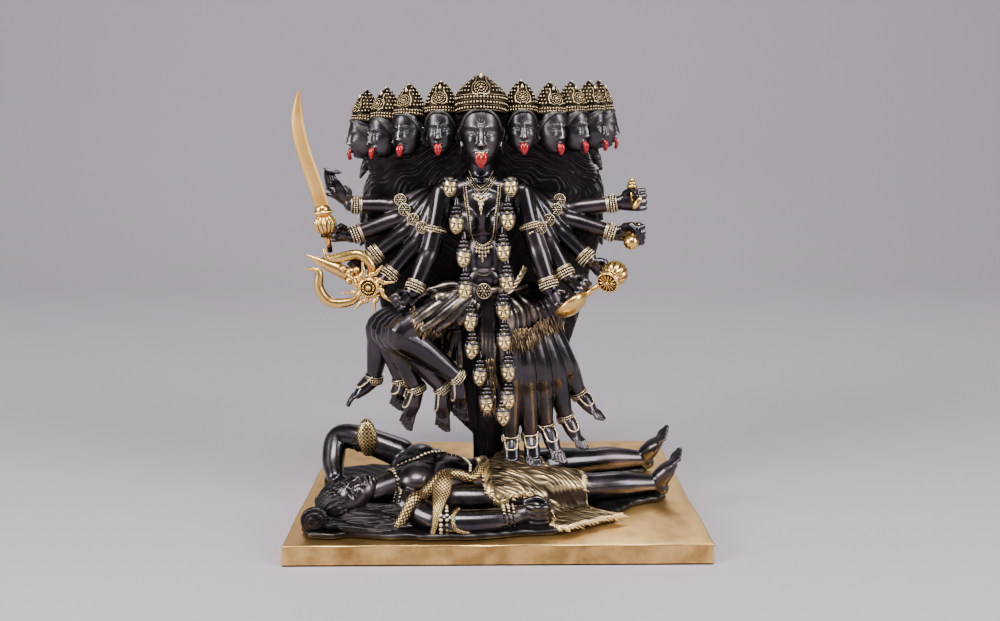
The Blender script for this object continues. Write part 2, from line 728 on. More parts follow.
def foot(wax, ankle, toe, width=8.5, sole=None):
    """Heel, instep and five toes. Sole is the way its underside faces."""
    ankle, toe = Vector(ankle), Vector(toe)
    along = (toe - ankle).normalized()
    down = Vector(sole) if sole else (Vector((0, 0, -1)) if abs(along.z) < 0.9 else Vector((0, 1, 0)))
    down = (down - along * along.dot(down)).normalized()
    across = along.cross(down)
    length = (toe - ankle).length

    def at(x, y, z):
        return ankle + across * x * width + down * y * width + along * z * length

    ball(wax, at(0, 0.30, -0.08), (0.86 * width,) * 3)
    sweep(wax, [at(0, 0.05, -0.10), at(0, 0.02, 0.20), at(0.02, 0.12, 0.42), at(0.03, 0.26, 0.64)],
          [0.84 * width, 0.98 * width, 1.06 * width, 0.90 * width],
          [0.90 * width, 1.00 * width, 0.88 * width, 0.52 * width], face=down, sides=28)
    for number in range(5):
        side = 0.76 - 0.38 * number
        reach = (1.0, 1.02, 0.98, 0.93, 0.87)[number]
        thick = (0.235, 0.165, 0.155, 0.15, 0.15)[number] * width
        base, tip = at(side * 0.85, 0.26, 0.56), at(side * 1.05, 0.30, reach)
        sweep(wax, [base, at(side, 0.02, 0.80 * reach), tip], [thick] * 3, face=down)
        ball(wax, tip, (thick * 1.35,) * 3, sides=12)


print("hand and foot ready")

# %% [markdown]
# ## Trunk, arms and legs
# The five arms of each side fan out from one shoulder, and only the front one is whole at the top.
# They are melted together side by side, so the creases between them stay sharp where they part.

# %% Trunk
body = Wax()
ball(body, (-18, -2, 378), (43, 26, 33), sides=32)
ball(body, (-16, -4, 322), (27, 22, 42), sides=32)
ball(body, (-12, 1, 276), (38, 27, 28), sides=32)
limb(body, ((-66, -4, 398), (-19, 2, 405), (30, -4, 399)), (13, 17, 13))
limb(body, ((-19, 0, 400), (-19, -4, 436)), (15.0, 14.0), 3)
for side in (-39, 3):
    ball(body, (side, -22, 368), (17.5, 17, 17), sides=28)
ball(body, (-16, -22, 300), (20, 8, 14))
for number in range(2):
    limb(body, ((-33, -8, 424 - 7 * number), (-19, -19.5, 421 - 7 * number), (-5, -8, 424 - 7 * number)),
         (1.3, 1.6, 1.3))
trunk = melt("kali_trunk", body, 1.5, 4, 36000)
finish_piece(trunk, skin_black)


# %% Arms
def arms(name, sets, palms, curls, sizes, side):
    wax = Wax()
    for number, (shoulder, elbow, wrist, middle) in enumerate(sets):
        shoulder, elbow, wrist = Vector(shoulder), Vector(elbow), Vector(wrist)
        forearm = elbow.lerp(wrist, 0.32)
        radii = (12.5, 12.0, 11.2, 11.6, 9.0) if number == 0 else (8.0, 11.4, 11.0, 11.0, 8.8)
        limb(wax, (shoulder, shoulder.lerp(elbow, 0.5) + Vector((side * 1.5, 0, 1.5)), elbow, forearm,
                   wrist), radii)
        hand(wax, wrist, middle, palms[number], curls[number], sizes[number], thumb_side=side, spread=0.25)
    return melt(name, wax, 0.95, 2, 52000)


left_arms = arms("kali_arms_left", LEFT_ARMS,
                 ((0.3, -1, 0.3), (0.2, -1, 0.2), (0, -1, 0), (0, -1, 0.1), (-0.3, -1, 0.2)),
                 (0.8, 0.8, 0.85, 0.9, 0.22), (22, 22, 22, 23, 20), 1)
finish_piece(left_arms, skin_black)
right_arms = arms("kali_arms_right", RIGHT_ARMS,
                  ((0.4, -0.6, 0.5), (0, -1, 0.2), (0, -1, 0), (0.1, -1, -0.2), (-0.1, -1, 0.1)),
                  (0.55, 0.8, 0.85, 0.95, 0.9), (22, 23, 23, 29, 29), -1)
finish_piece(right_arms, skin_black)

# %% Legs
def legs(name, sets, radii_of, voxel, triangles, bow):
    wax = Wax()
    for number, (hip, knee, ankle, toe) in enumerate(sets):
        hip, knee, ankle = Vector(hip), Vector(knee), Vector(ankle)
        thigh = hip.lerp(knee, 0.5) + bow
        calf = knee.lerp(ankle, 0.36) + Vector((0, 4, 0))
        limb(wax, (hip, thigh, knee, calf, ankle), radii_of(number))
        ball(wax, ankle, (9.4,) * 3, sides=20)
        foot(wax, ankle, toe, 9.8)
    return melt(name, wax, voxel, 2, triangles)


raised = legs("kali_legs_raised", BENT_LEGS,
              lambda number: (24, 22, 17.5, 18.5, 9.2) if number == 0 else (22, 19, 15.5, 15.5, 8.8),
              0.85, 70000, Vector((0, -2, 3)))
finish_piece(raised, skin_black)
standing = legs("kali_legs_standing", STANDING_LEGS, lambda number: (19, 18.0, 16.5, 15.5, 9.4),
                0.85, 70000, Vector((1, 0, 0)))
finish_piece(standing, skin_black)

# %% [markdown]
# ## One face, made by pushing
# A face is one closed egg whose front is pushed and pulled. Each push is a soft round dent or bump at a
# place on the face, in half face widths, so the same list gives the large head, the nine side heads
# and the small ones of the garland. The proportions are the plain thirds of the drawing books:
# hairline to brow, brow to the base of the nose, base of the nose to chin.

# %% Face
# Each push: across, up, width, height, amount. A push off the middle is mirrored.
TALL = 0.88
PUSHES = (
    (0.00, 0.95, 0.75, 0.45, 0.05), (0.44, 0.42, 0.34, 0.13, 0.07), (0.44, 0.08, 0.30, 0.22, -0.13),
    (0.17, 0.12, 0.09, 0.20, -0.07), (0.44, 0.02, 0.24, 0.15, 0.125), (0.00, 0.20, 0.12, 0.42, 0.15),
    (0.00, -0.25, 0.12, 0.34, 0.25), (0.00, -0.52, 0.14, 0.14, 0.24), (0.16, -0.58, 0.085, 0.09, 0.15),
    (0.00, -0.76, 0.10, 0.08, -0.05), (0.56, -0.36, 0.28, 0.26, 0.10), (0.00, -1.02, 0.42, 0.26, 0.10),
    (0.09, -0.915, 0.13, 0.05, 0.07), (0.00, -1.06, 0.27, 0.075, -0.20), (0.00, -1.22, 0.21, 0.065, 0.11),
    (0.00, -1.37, 0.18, 0.07, -0.07), (0.00, -1.58, 0.24, 0.17, 0.13), (0.36, -0.72, 0.10, 0.22, -0.035),
    (0.88, 0.45, 0.22, 0.35, -0.05))


def face_shape(columns, rows, pushes=PUSHES):
    """Points of the egg in half face widths, front towards -Y, eyes at height 0."""
    points, faces = [], []
    for row in range(1, rows):
        up = -cos(pi * row / rows)
        width = (1 - abs(up) ** 2.6) ** (1 / 2.6)
        front = 1.04 * (1 - abs(up) ** 3.0) ** (1 / 3.0)
        back = 1.22 * math.sqrt(max(0.0, 1 - up * up))
        z = 0.08 + 1.86 * up
        if up < 0:
            narrow = min(1.0, -up) ** 1.6
            width *= 1 - 0.24 * narrow
            back *= 1 - 0.55 * narrow
        for column in range(columns):
            turn = 2 * pi * column / columns
            # More columns where the face is.
            turn += 0.55 * sin(turn)
            s, c = sin(turn), cos(turn)
            y = back * -c if c < 0 else -front * c ** 0.85
            points.append((width * math.copysign(abs(s) ** 0.92, s), y, z))
    co = np.array(points)
    for x, z, rx, rz, amount in pushes:
        for side in ((1, -1) if x else (1,)):
            near = np.exp(-((co[:, 0] - side * x) / rx) ** 2 - ((co[:, 2] - z) / rz) ** 2)
            co[:, 1] -= amount * near * (co[:, 1] < 0) * np.clip(-co[:, 1] / 0.4, 0, 1)
    low, high = len(co), len(co) + 1
    co = np.vstack((co, [(0, 0, 0.08 - 1.86), (0, 0, 0.08 + 1.86)]))
    for row in range(rows - 2):
        for column in range(columns):
            a, b = row * columns + column, row * columns + (column + 1) % columns
            faces.append([a, b, b + columns, a + columns])
    for column in range(columns):
        a, b = column, (column + 1) % columns
        faces.append([low, b, a])
        faces.append([high, (rows - 2) * columns + a, (rows - 2) * columns + b])
    co[:, 2] *= TALL
    return co, faces


FINE_FACE = face_shape(132, 110)
SIDE_FACE = face_shape(96, 80)
SMALL_FACE = face_shape(48, 42, [(x, z, 1.15 * rx, 1.15 * rz, 1.5 * push) for x, z, rx, rz, push in PUSHES])


FACE_TREE = skin_tree(*FINE_FACE)


def on_face(x, z, lift=0.0):
    """The point of the face's front at that place, lifted a little off it."""
    hit = FACE_TREE.ray_cast(Vector((x, -4, z * TALL)), Vector((0, 1, 0)))[0]
    return Vector((x, (hit.y if hit else -0.3) - lift, z * TALL))


def mirrored(points):
    return [[(x, z) for x, z in points], [(-x, z) for x, z in points]]


def face_line(wax, place, w, points, radii, lift=0.0, depth=1.0):
    path = smooth_path([on_face(x, z, lift) for x, z in points], 4)
    thick = [r * w for r in smooth_values(radii, 4)]
    sweep(wax, [place @ (p * w) for p in path], thick, [t * depth for t in thick], sides=8)


def features(wax, place, w):
    """Lids, brows, lips, ears and the mark on the forehead."""
    for line in mirrored(((0.18, -0.04), (0.28, 0.10), (0.44, 0.155), (0.60, 0.10), (0.74, -0.02))):
        face_line(wax, place, w, line, (0.02, 0.042, 0.05, 0.042, 0.02), 0.0)
    for line in mirrored(((0.20, -0.05), (0.32, -0.075), (0.46, -0.085), (0.60, -0.06), (0.72, -0.01))):
        face_line(wax, place, w, line, (0.014, 0.028, 0.032, 0.028, 0.014), 0.0)
    for line in mirrored(((0.14, 0.32), (0.30, 0.44), (0.50, 0.49), (0.70, 0.43), (0.86, 0.28))):
        face_line(wax, place, w, line, (0.03, 0.05, 0.048, 0.036, 0.016), 0.0)
    face_line(wax, place, w, ((-0.36, -0.98), (-0.18, -0.93), (-0.06, -0.905), (0, -0.92), (0.06, -0.905),
                              (0.18, -0.93), (0.36, -0.98)),
              (0.015, 0.042, 0.055, 0.05, 0.055, 0.042, 0.015), 0.0)
    face_line(wax, place, w, ((-0.35, -1.00), (-0.19, -1.17), (0, -1.24), (0.19, -1.17), (0.35, -1.00)),
              (0.015, 0.042, 0.06, 0.042, 0.015), 0.0)
    face_line(wax, place, w, ((-0.20, 0.86), (-0.15, 0.68), (0, 0.60), (0.15, 0.68), (0.20, 0.86)),
              (0.012, 0.035, 0.045, 0.035, 0.012), 0.0)
    face_line(wax, place, w, ((-0.075, 0.90), (-0.06, 0.78), (0, 0.72), (0.06, 0.78), (0.075, 0.90)),
              (0.012, 0.028, 0.032, 0.028, 0.012), 0.0)
    face_line(wax, place, w, ((-0.10, 0.50), (-0.05, 0.42), (0.05, 0.42), (0.10, 0.50)),
              (0.015, 0.03, 0.03, 0.015), 0.0)
    for side in (1, -1):
        loop = [(1.0, 0.02, 0.30), (1.12, 0.14, 0.34), (1.18, 0.20, 0.14), (1.12, 0.16, -0.12),
                (1.02, 0.08, -0.36), (0.97, 0.02, -0.52)]
        path = smooth_path([(side * x, y, z) for x, y, z in loop], 3)
        sweep(wax, [place @ (p * w) for p in path],
              smooth_values([0.05 * w, 0.07 * w, 0.07 * w, 0.06 * w, 0.07 * w, 0.06 * w], 3), sides=8)
        ball(wax, place @ Vector((side * 1.03 * w, 0.14 * w, -0.02 * w)), (0.1 * w, 0.14 * w, 0.34 * w),
             place.to_3x3().to_4x4(), 12)


def framing_hair(wax, place, w, locks=5):
    """Locks that part in the middle and fall behind the ears."""
    for side in (1, -1):
        for lock in range(locks):
            back = 0.15 * lock
            path = [(side * 0.02, -0.98 + 0.10 * lock, 1.20 + 0.05 * lock),
                    (side * 0.36, -0.95 + back, 1.20), (side * 0.74, -0.72 + back, 0.92),
                    (side * 0.97, -0.40 + back, 0.50), (side * 1.04, -0.02 + back, 0.05),
                    (side * (1.03 + 0.02 * lock), 0.16 + back, -0.7 - 0.05 * lock)]
            limb(wax, [place @ (Vector(p) * w) for p in path],
                 [v * w for v in (0.05, 0.08, 0.09, 0.09, 0.08, 0.05)], 4, 10)
    ball(wax, place @ Vector((0, 0.4 * w, 0.35 * w)), (1.02 * w, 0.98 * w, 1.20 * w),
         place.to_3x3().to_4x4(), 28)


def head_place(centre, turn):
    return Matrix.Translation(centre) @ Matrix.Rotation(radians(turn), 4, "Z")


def put_face(wax, shape, place, w):
    co, faces = shape
    wax.add(co, faces, place @ Matrix.Scale(w, 4))


# %% Heads
heads = Wax()
for number, (centre, turn, w) in enumerate((MAIN_HEAD, *SIDE_HEADS)):
    place = head_place(centre, turn)
    put_face(heads, SIDE_FACE if number else FINE_FACE, place, w)
    features(heads, place, w)
faces_piece = as_is("kali_faces", heads, triangles=120000)
finish_piece(faces_piece, face_black, reach=4, span=0.5)

locks = Wax()
for centre, turn, w in (MAIN_HEAD, *SIDE_HEADS):
    framing_hair(locks, head_place(centre, turn), w)
finish_piece(as_is("kali_framing_hair", locks, triangles=40000), hair_black)

# %% [markdown]
# ## Tongues and teeth
# The tongue hangs out of each mouth and is painted with red enamel, the only paint on the figure. It is
# a flat swept strip with a groove down the middle. The large head also shows its upper teeth.

# %% Tongues
tongue_red = bpy.data.materials.new("red enamel")
tongue_red.use_nodes = True
red_tree = tongue_red.node_tree
red_shader = red_tree.nodes["Principled BSDF"]
red_shader.inputs["Roughness"].default_value = 0.25
red_shader.inputs["Coat Weight"].default_value = 0.35
red_shader.inputs["Coat Roughness"].default_value = 0.1
red_cloud = place_group(red_tree, MOTTLE, Scale=220.0)
red_tree.links.new(blend_colour(red_tree, red_cloud, (0.24, 0.0, 0.002), (0.36, 0.002, 0.004)),
                   red_shader.inputs["Base Color"])
red_bump = red_tree.nodes.new("ShaderNodeBump")
red_bump.inputs["Strength"].default_value = 0.2
red_bump.inputs["Distance"].default_value = 0.0005
red_tree.links.new(place_group(red_tree, GRAIN, Scale=400.0), red_bump.inputs["Height"])
red_tree.links.new(red_bump.outputs["Normal"], red_shader.inputs["Normal"])

tongues, teeth = Wax(), Wax()
for number, (centre, turn, w) in enumerate((MAIN_HEAD, *SIDE_HEADS)):
    place = head_place(centre, turn)
    path = smooth_path([(0, -0.86, -0.93), (0, -1.08, -0.96), (0, -1.17, -1.10), (0, -1.17, -1.30),
                        (0, -1.11, -1.56)], 4)
    widths = smooth_values((0.24, 0.28, 0.30, 0.27, 0.10) if number == 0
                           else (0.20, 0.25, 0.27, 0.24, 0.10), 4)
    for side in (1, -1):
        shifted = [place @ ((p + Vector((side * 0.42 * v, 0, 0))) * w) for p, v in zip(path, widths)]
        sweep(tongues, shifted, [0.62 * v * w for v in widths], [0.13 * w] * len(path),
              face=place.to_3x3() @ Vector((0, -1, 0)), sides=16)
    if number == 0:
        for tooth in range(-3, 4):
            spot = Vector((0.085 * tooth, -1.17 + 0.016 * tooth * tooth, -0.885)) * w
            ball(teeth, place @ spot, (0.046 * w, 0.05 * w, 0.07 * w), sides=10)
tongue_piece = as_is("kali_tongues", tongues)
finish_piece(tongue_piece, tongue_red)
finish_piece(as_is("kali_teeth", teeth), gold_face)

# %% [markdown]
# ## Crowns
# A crown is a ring with a leaf-shaped shield in front. The shield follows the ring round and leans
# back. Everything on it is laid by its place on the shield: bead rows on the band, a rosette in the
# middle, two scrolls that curl round it, a drop above and a row of buds along the edge.

# %% Crown
# Half width of the crest at shares of its height.
CREST_HEIGHTS = (0.0, 0.12, 0.25, 0.4, 0.55, 0.7, 0.82, 0.92, 1.0)
CREST_MAIN = (1.0, 0.95, 0.85, 0.70, 0.56, 0.42, 0.28, 0.14, 0.03)
CREST_SIDE = (1.0, 0.99, 0.93, 0.82, 0.69, 0.53, 0.36, 0.18, 0.04)


class Crown:
    """One crown. W is its half width, band and crest are its two heights, all in millimetres."""

    def __init__(self, place, w, band, crest, lean, pointed):
        self.place, self.w, self.band, self.crest = place, w, band, crest
        self.lean, self.pointed = lean, pointed
        self.deep = 0.86

    def half_width(self, z):
        """Half the shield's width at a height above the band's foot."""
        if z <= self.band:
            return self.w
        share = min(1.0, (z - self.band) / self.crest)
        return self.w * float(np.interp(share, CREST_HEIGHTS, CREST_MAIN if self.pointed else CREST_SIDE))

    def at(self, x, z, lift=0.0):
        """A point on the front of the shield, x across and z above the band's foot."""
        half = self.half_width(z)
        round_ = math.sqrt(max(0.0, 1 - min(0.9999, (x / half) ** 2)))
        y = -(self.deep * half * round_ + lift) + self.lean * max(0.0, z - 0.3 * self.band)
        return self.place @ Vector((x * (1 + lift / half), y, z + self.dip(round_, z)))

    def dip(self, round_, z):
        """The band's foot rises over the forehead."""
        return -0.16 * self.w * (1 - round_) * max(0.0, 1 - z / (1.5 * self.band))

    def ring(self, z, share=1.0, count=64):
        points = []
        half = self.half_width(z) * share
        for step in range(count):
            turn = 2 * pi * step / count
            c = cos(turn)
            y = -self.deep * half * c + self.lean * max(0.0, z - 0.3 * self.band)
            points.append(self.place @ Vector((half * sin(turn), y, z + self.dip(max(0.0, c), z))))
        return points

    def plate(self, wax, rows=30, count=64):
        """The plain closed cap under the ornament."""
        rings = [self.ring((self.band + self.crest) * k / rows, 1.0, count) for k in range(rows + 1)]
        points = [p[:] for ring in rings for p in ring]
        faces = [[r * count + k, r * count + (k + 1) % count, (r + 1) * count + (k + 1) % count,
                  (r + 1) * count + k] for r in range(rows) for k in range(count)]
        faces += [list(range(count))[::-1], [rows * count + k for k in range(count)]]
        wax.add(points, faces)

    def around(self, angle, z, lift=0.0):
        """A point on the cap at an angle from its front."""
        half = self.half_width(z) + lift
        y = -self.deep * half * cos(angle) + self.lean * max(0.0, z - 0.3 * self.band)
        return self.place @ Vector((half * sin(angle), y, z + self.dip(max(0.0, cos(angle)), z)))

    def curl(self, side, path, lift=0.5):
        return [self.at(side * p.x, p.y, lift) for p in smooth_path([(x, z, 0) for x, z in path], 5)]

    def ornament(self, wax, rows, main):
        w, band, crest = self.w, self.band, self.crest
        bead = 0.046 * w if main else 0.066 * w
        for k in range(2 * rows + 1):
            z = band * k / (2 * rows)
            arch = [self.around(0.08 * i, z, 0.35) for i in range(-28, 29)]
            if k % 2:
                string_beads(wax, [arch], bead, 2.75 * bead, sides=8)
            else:
                wires(wax, [arch], 0.42 * bead)
        mid = band + crest * 0.32
        r = 0.22 * w if main else 0.30 * w
        ball(wax, self.at(0, mid, 0.8), (0.30 * r, 0.3 * r, 0.30 * r), self.turn(), 12)
        for radius, size, count in ((0.62 * r, 0.17 * r, 9), (1.08 * r, 0.155 * r, 18)):
            for k in range(count):
                a = 2 * pi * k / count
                ball(wax, self.at(radius * cos(a), mid + radius * sin(a), 0.5), (size, size, size), sides=8)
        loop = [self.at(0.86 * r * cos(a), mid + 0.86 * r * sin(a), 0.3)
                for a in [2 * pi * k / 20 for k in range(21)]]
        wires(wax, [loop], 0.07 * r)
        # Two scrolls embrace the rosette and meet under the drop.
        for side in (1, -1):
            wires(wax,
                  [self.curl(side,
                             ((0.5 * r, mid - 1.35 * r), (1.4 * r, mid - 0.9 * r), (1.5 * r, mid + 0.2 * r),
                              (0.95 * r, mid + 1.15 * r), (0.75 * r, mid + 1.8 * r),
                              (1.1 * r, mid + 2.2 * r)))], 0.12 * r)
        ball(wax, self.at(0, mid + 2.0 * r, 0.6), (0.3 * r, 0.3 * r, 0.72 * r), self.turn(), 12)
        ball(wax, self.at(0, band + crest * 0.95, 0.1), (0.09 * w, 0.09 * w, 0.12 * w), self.turn(), 12)
        # Grains fill the field in rows, and buds stand along the edge.
        grain = 0.046 * w if main else 0.070 * w
        step = 3.2 * grain
        z = band + step
        while z < band + 0.93 * crest:
            half = self.half_width(z)
            reach = 1.28 if main else 2.2
            count = int(reach * half / step)
            for k in range(-count, count + 1):
                angle = reach * k / max(1, count)
                x = half * sin(angle)
                near = abs(angle) < 1.57 and (math.hypot(x, 0.95 * (z - mid)) < 1.75 * r
                                              or abs(x) < 0.45 * r and z > mid)
                if not near:
                    ball(wax, self.around(angle, z, 0.3), (grain,) * 3, sides=6)
            z += step
        buds = 10 if main else 7
        for side in (1, -1):
            for k in range(buds):
                z = band + crest * (0.04 + 0.86 * k / buds)
                size = (0.060 if main else 0.080) * w * (1 - 0.4 * k / buds)
                ball(wax, self.around(side * 1.5, z, 0.1), (size, size, size * 1.35), self.turn(-side * 28),
                     8)

    def turn(self, tilt=0):
        return self.place.to_3x3().to_4x4() @ Matrix.Rotation(radians(tilt), 4, "Y")


crowns, plates = Wax(), Wax()
for number, (centre, turn, w) in enumerate((MAIN_HEAD, *SIDE_HEADS)):
    base = head_place(centre, 0.72 * turn)
    if number == 0:
        crown = Crown(base @ Matrix.Translation((0, 2.0, 28.6)), 29.5, 17.0, 24.0, 0.12, 0.35)
        crown.plate(plates)
        crown.ornament(crowns, 3, True)
    else:
        crown = Crown(base @ Matrix.Translation((0, 1.5, 1.28 * w)), 1.07 * w, 6.0, 29.5, 0.14, 0.0)
        crown.plate(plates, 24, 48)
        crown.ornament(crowns, 2, False)
crown_plates = as_is("kali_crown_plates", plates)
crown_ground = tree_of(crown_plates.data)
crown_plates.data.attributes.new("relief", "FLOAT", "POINT")
finish_piece(crown_plates, crown_brass, reach=0)
crown_work = as_is("kali_crown_work", crowns)
mark_both(crown_work.data, [crown_ground], 0.3, 1.5, 3, 0.3)
finish_piece(crown_work, crown_brass, reach=0)

# %% [markdown]
# ## The fall of hair
# The hair of all ten heads falls behind the figure as one broad plate with a trailing edge, and a
# column of it runs down to the slab and carries the weight. It is one thick shape whose skin is combed:
# the height of the skin follows lines that spread from the main head and wave as they fall.

# %% Hair
HAIR_EDGE = ((-176, 452), (-160, 439), (-155, 415), (-160, 392), (-164, 363), (-166, 334), (-160, 305),
             (-150, 268), (-144, 240), (-112, 200), (-76, 134), (-46, 100), (-32, 86), (-31, TOP + 0.5),
             (20, TOP + 0.5), (24, 90), (58, 120), (88, 190), (100, 230), (114, 276), (117, 299), (124, 320),
             (128, 337), (125, 365), (132, 395), (121, 412), (125, 422), (112, 449), (114, 470), (116, 496),
             (-20, 512), (-170, 488))
HAIR_FRONT, HAIR_BACK = 24.0, 44.0


def slab_of(wax, outline, low, high, lay):
    """A flat plate between two depths. lay turns an outline point and a depth into a place."""
    n = len(outline)
    points = [lay(x, z, low) for x, z in outline] + [lay(x, z, high) for x, z in outline]
    faces = [list(range(n)), list(range(2 * n - 1, n - 1, -1))]
    faces += [[k, n + k, n + (k + 1) % n, (k + 1) % n] for k in range(n)]
    wax.add(points, faces)


def combed(x, z):
    """Height of the combed skin, about -1 to 1. Lines of equal flow run out from the heads and droop."""
    u, v = np.abs(x + 19.0), 505.0 - z
    fall = np.clip((v - 70.0) / 190.0, 0, 1)
    fall = fall * fall * (3 - 2 * fall)
    side = np.where(x < -19, 0.0, 2.0)
    v = (v + 4.5 * np.sin(u / 17.0 + side + 1.5 * np.sin(v / 31.0))
         + 1.6 * np.sin(u / 7.0 + 1.2 * np.sin(v / 13.0)))
    u = u + 5.0 * np.sin(v / 21.0 + side + 1.5 * np.sin(u / 27.0)) + 1.5 * np.sin(v / 8.5 - u / 15.0)
    flow = (1 - fall) * (v - 0.45 * u) - fall * 1.05 * u
    thick = 1.6 * np.sin(flow / 23.0 + u / 37.0)
    lock = 2 * np.abs(np.sin(pi * (flow + thick) / 9.0)) ** 0.7 - 1
    strand = np.abs(np.sin(pi * (flow + 1.3 * np.sin(v / 13.0)) / 3.4)) * 2 - 1
    other = np.abs(np.sin(pi * (flow + 6.0 * np.sin(u / 43.0 + v / 29.0)) / 3.9)) * 2 - 1
    patch = 0.5 + 0.5 * np.sin(u / 23.0 + 2.0 * np.sin(v / 37.0)) * np.sin(v / 27.0 + side)
    return 0.26 * lock + 0.62 * (patch * strand + (1 - patch) * other)


def comb_hair(co, normals):
    side = np.clip(np.abs(normals[:, 1]) * 1.4, 0, 1)
    height = (combed(co[:, 0], co[:, 2]) * np.where(co[:, 1] < 34, 1.2, 1.0)
              * np.interp(co[:, 2], (200, 300, 390), (0.45, 0.5, 1.0)))
    return co + normals * (height * (0.35 + 0.65 * side) - 0.4)[:, None]


hair = Wax()
slab_of(hair, HAIR_EDGE, HAIR_FRONT + 1.0, HAIR_BACK - 1.0, lambda x, z, y: (x, y, z))
limb(hair, ((-6, 34, 200), (-6, 32, 110), (-5, 32, 38)), (24, 22, 19))
for k in range(13):
    x, bend = -148 + 21 * k, 5 * sin(2.3 * k)
    limb(hair, ((x, 41, 492), (x + bend, 44, 440), (0.96 * x - bend, 45, 380), (0.85 * x + bend, 44, 310),
                (0.7 * x - 4, 41, 235)), (4, 7, 8, 7, 3))
# Loose tips stand away from the edge.
for x, z, dx, dz in ((-163, 430, -9, -12), (-160, 405, -10, -14), (-165, 378, -8, -15), (-166, 350, -8, -16),
                     (-163, 320, -8, -16), (-156, 288, -7, -15), (124, 440, 9, -12), (127, 408, 8, -13),
                     (127, 380, 8, -14), (128, 350, 7, -15), (120, 322, 7, -14), (112, 290, 6, -14)):
    limb(hair, ((x - 0.8 * dx, 34, z + 14), (x, 33, z), (x + 0.6 * dx, 32, z + dz)), (7, 5.5, 2.2))
hair_fall = melt("kali_hair_fall", hair, 1.25, 1, 100000, comb_hair)
finish_piece(hair_fall, hair_black, reach=4, span=0.5)

# %% [markdown]
# ## Skirt
# The skirt is short, of strings or fur that stand off the hips. The left side lies along the raised
# legs and the right side flares over the standing ones. Each fold is a tapering strip, and the strips
# are melted together as they would be in the wax.

# %% Skirt
thigh_tree = tree_of(raised.data)


def on_thigh(x, z, lift):
    """A place on the front of the raised legs, seen from the front."""
    hit = thigh_tree.ray_cast(Vector((x, -200, z)), Vector((0, 1, 0)))[0]
    if hit is None:
        hit = thigh_tree.find_nearest(Vector((x, -30, z)))[0]
    return Vector((x, hit.y - lift, z)) if abs(hit.z - z) < 6 else hit + Vector((0, -lift, lift))


skirt = Wax()
limb(skirt, ((-46, -14, 284), (-16, -30, 285), (16, -20, 286), (34, 4, 286)), (5, 6, 6, 5))
# Folds that fan from the belt over the raised thigh to the hem.
HEM = smooth_path(((-104, 0, 279), (-101, 0, 269), (-91, 0, 254), (-80, 0, 243), (-62, 0, 233),
                   (-47, 0, 217), (-40, 0, 204)), 6)
for k in range(8):
    s = k / 7
    start, end = Vector((-40 + 16 * s, 0, 292 - 22 * s)), HEM[int(s * (len(HEM) - 1))]
    path = []
    for t in (0.0, 0.25, 0.5, 0.75, 1.0):
        p = start.lerp(end, t)
        path.append(on_thigh(p.x, p.z + 3.0 * sin(pi * t) * (1 - s) + 1.3 * sin(7 * t + 2.1 * k),
                             0.2 + 2.8 * (k % 2)))
    limb(skirt, path, (5.0, 6.6, 7.4, 6.8 - k % 2, 4.6), 6, 16)
# The flare over the standing legs.
for k in range(9):
    s = k / 8
    start = Vector((34 * s, -28 + 30 * s, 281))
    end = Vector((14 + 66 * s, -42 + 48 * s, 226 + 14 * s))
    limb(skirt, (start, (start + end) / 2 + Vector((7, -6, 6)), end), (4.8, 6.8 - 1.6 * (k % 2), 5.4), 8, 16)
for k in range(4):
    x = -12 + 4.5 * (k - 1.5)
    limb(skirt, ((x, -30, 280), (x + 1, -36, 230), (x + 1.5 * (k - 1.5), -35, 190)), (5, 5.5, 3.6), 8, 12)
skirt_piece = melt("kali_skirt", skirt, 1.05, 1, 64000)
finish_piece(skirt_piece, cloth_black, reach=7, span=0.6)

# %% [markdown]
# ## Fur edge
# The hem ends in a fringe of fur. Each tuft is a short bent taper of a few faces, and two tufts never
# have quite the same length. The seed is fixed, so the fringe comes out the same each time.

# %% Fringe
chance = random.Random(7)


def tuft(wax, root, way, length, radius, bend, sides=5):
    """One lock of fur: four rings and a point."""
    root, way = Vector(root), Vector(way).normalized()
    across = way.cross(Vector((0.3, 1, 0.2))).normalized()
    deep = way.cross(across)
    points = []
    for t, wide in ((0, 0.7), (0.3, 1.0), (0.65, 0.75), (0.9, 0.3)):
        middle = root + way * length * t + Vector(bend) * length * t * t
        points += [middle + (across * cos(a) + deep * sin(a)) * radius * wide
                   for a in [2 * pi * k / sides for k in range(sides)]]
    points.append(root + way * length + Vector(bend) * length)
    tip = len(points) - 1
    faces = [[r * sides + k, r * sides + (k + 1) % sides, (r + 1) * sides + (k + 1) % sides,
              (r + 1) * sides + k] for r in range(3) for k in range(sides)]
    faces += [[3 * sides + k, 3 * sides + (k + 1) % sides, tip] for k in range(sides)]
    faces.append(list(range(sides))[::-1])
    wax.add([p[:] for p in points], faces)


def fringe(wax, edge, way, length, count, depth=4.0, radius=1.0, lean=0.35):
    """Tufts along an edge of points."""
    edge = smooth_path(edge, 10)
    for k in range(count):
        place = (len(edge) - 1) * k / (count - 1)
        low = min(int(place), len(edge) - 2)
        root = edge[low].lerp(edge[low + 1], place - low)
        root = root + Vector((chance.uniform(-1, 1), chance.uniform(-depth, depth * 0.4),
                              chance.uniform(-1, 2)))
        aim = Vector(way) + Vector((chance.uniform(-lean, lean), chance.uniform(-0.2, 0.2),
                                    chance.uniform(-0.1, 0.1)))
        tuft(wax, root, aim, length * chance.uniform(0.65, 1.15), radius * chance.uniform(0.8, 1.3),
             (chance.uniform(-0.15, 0.15), 0, -0.05))


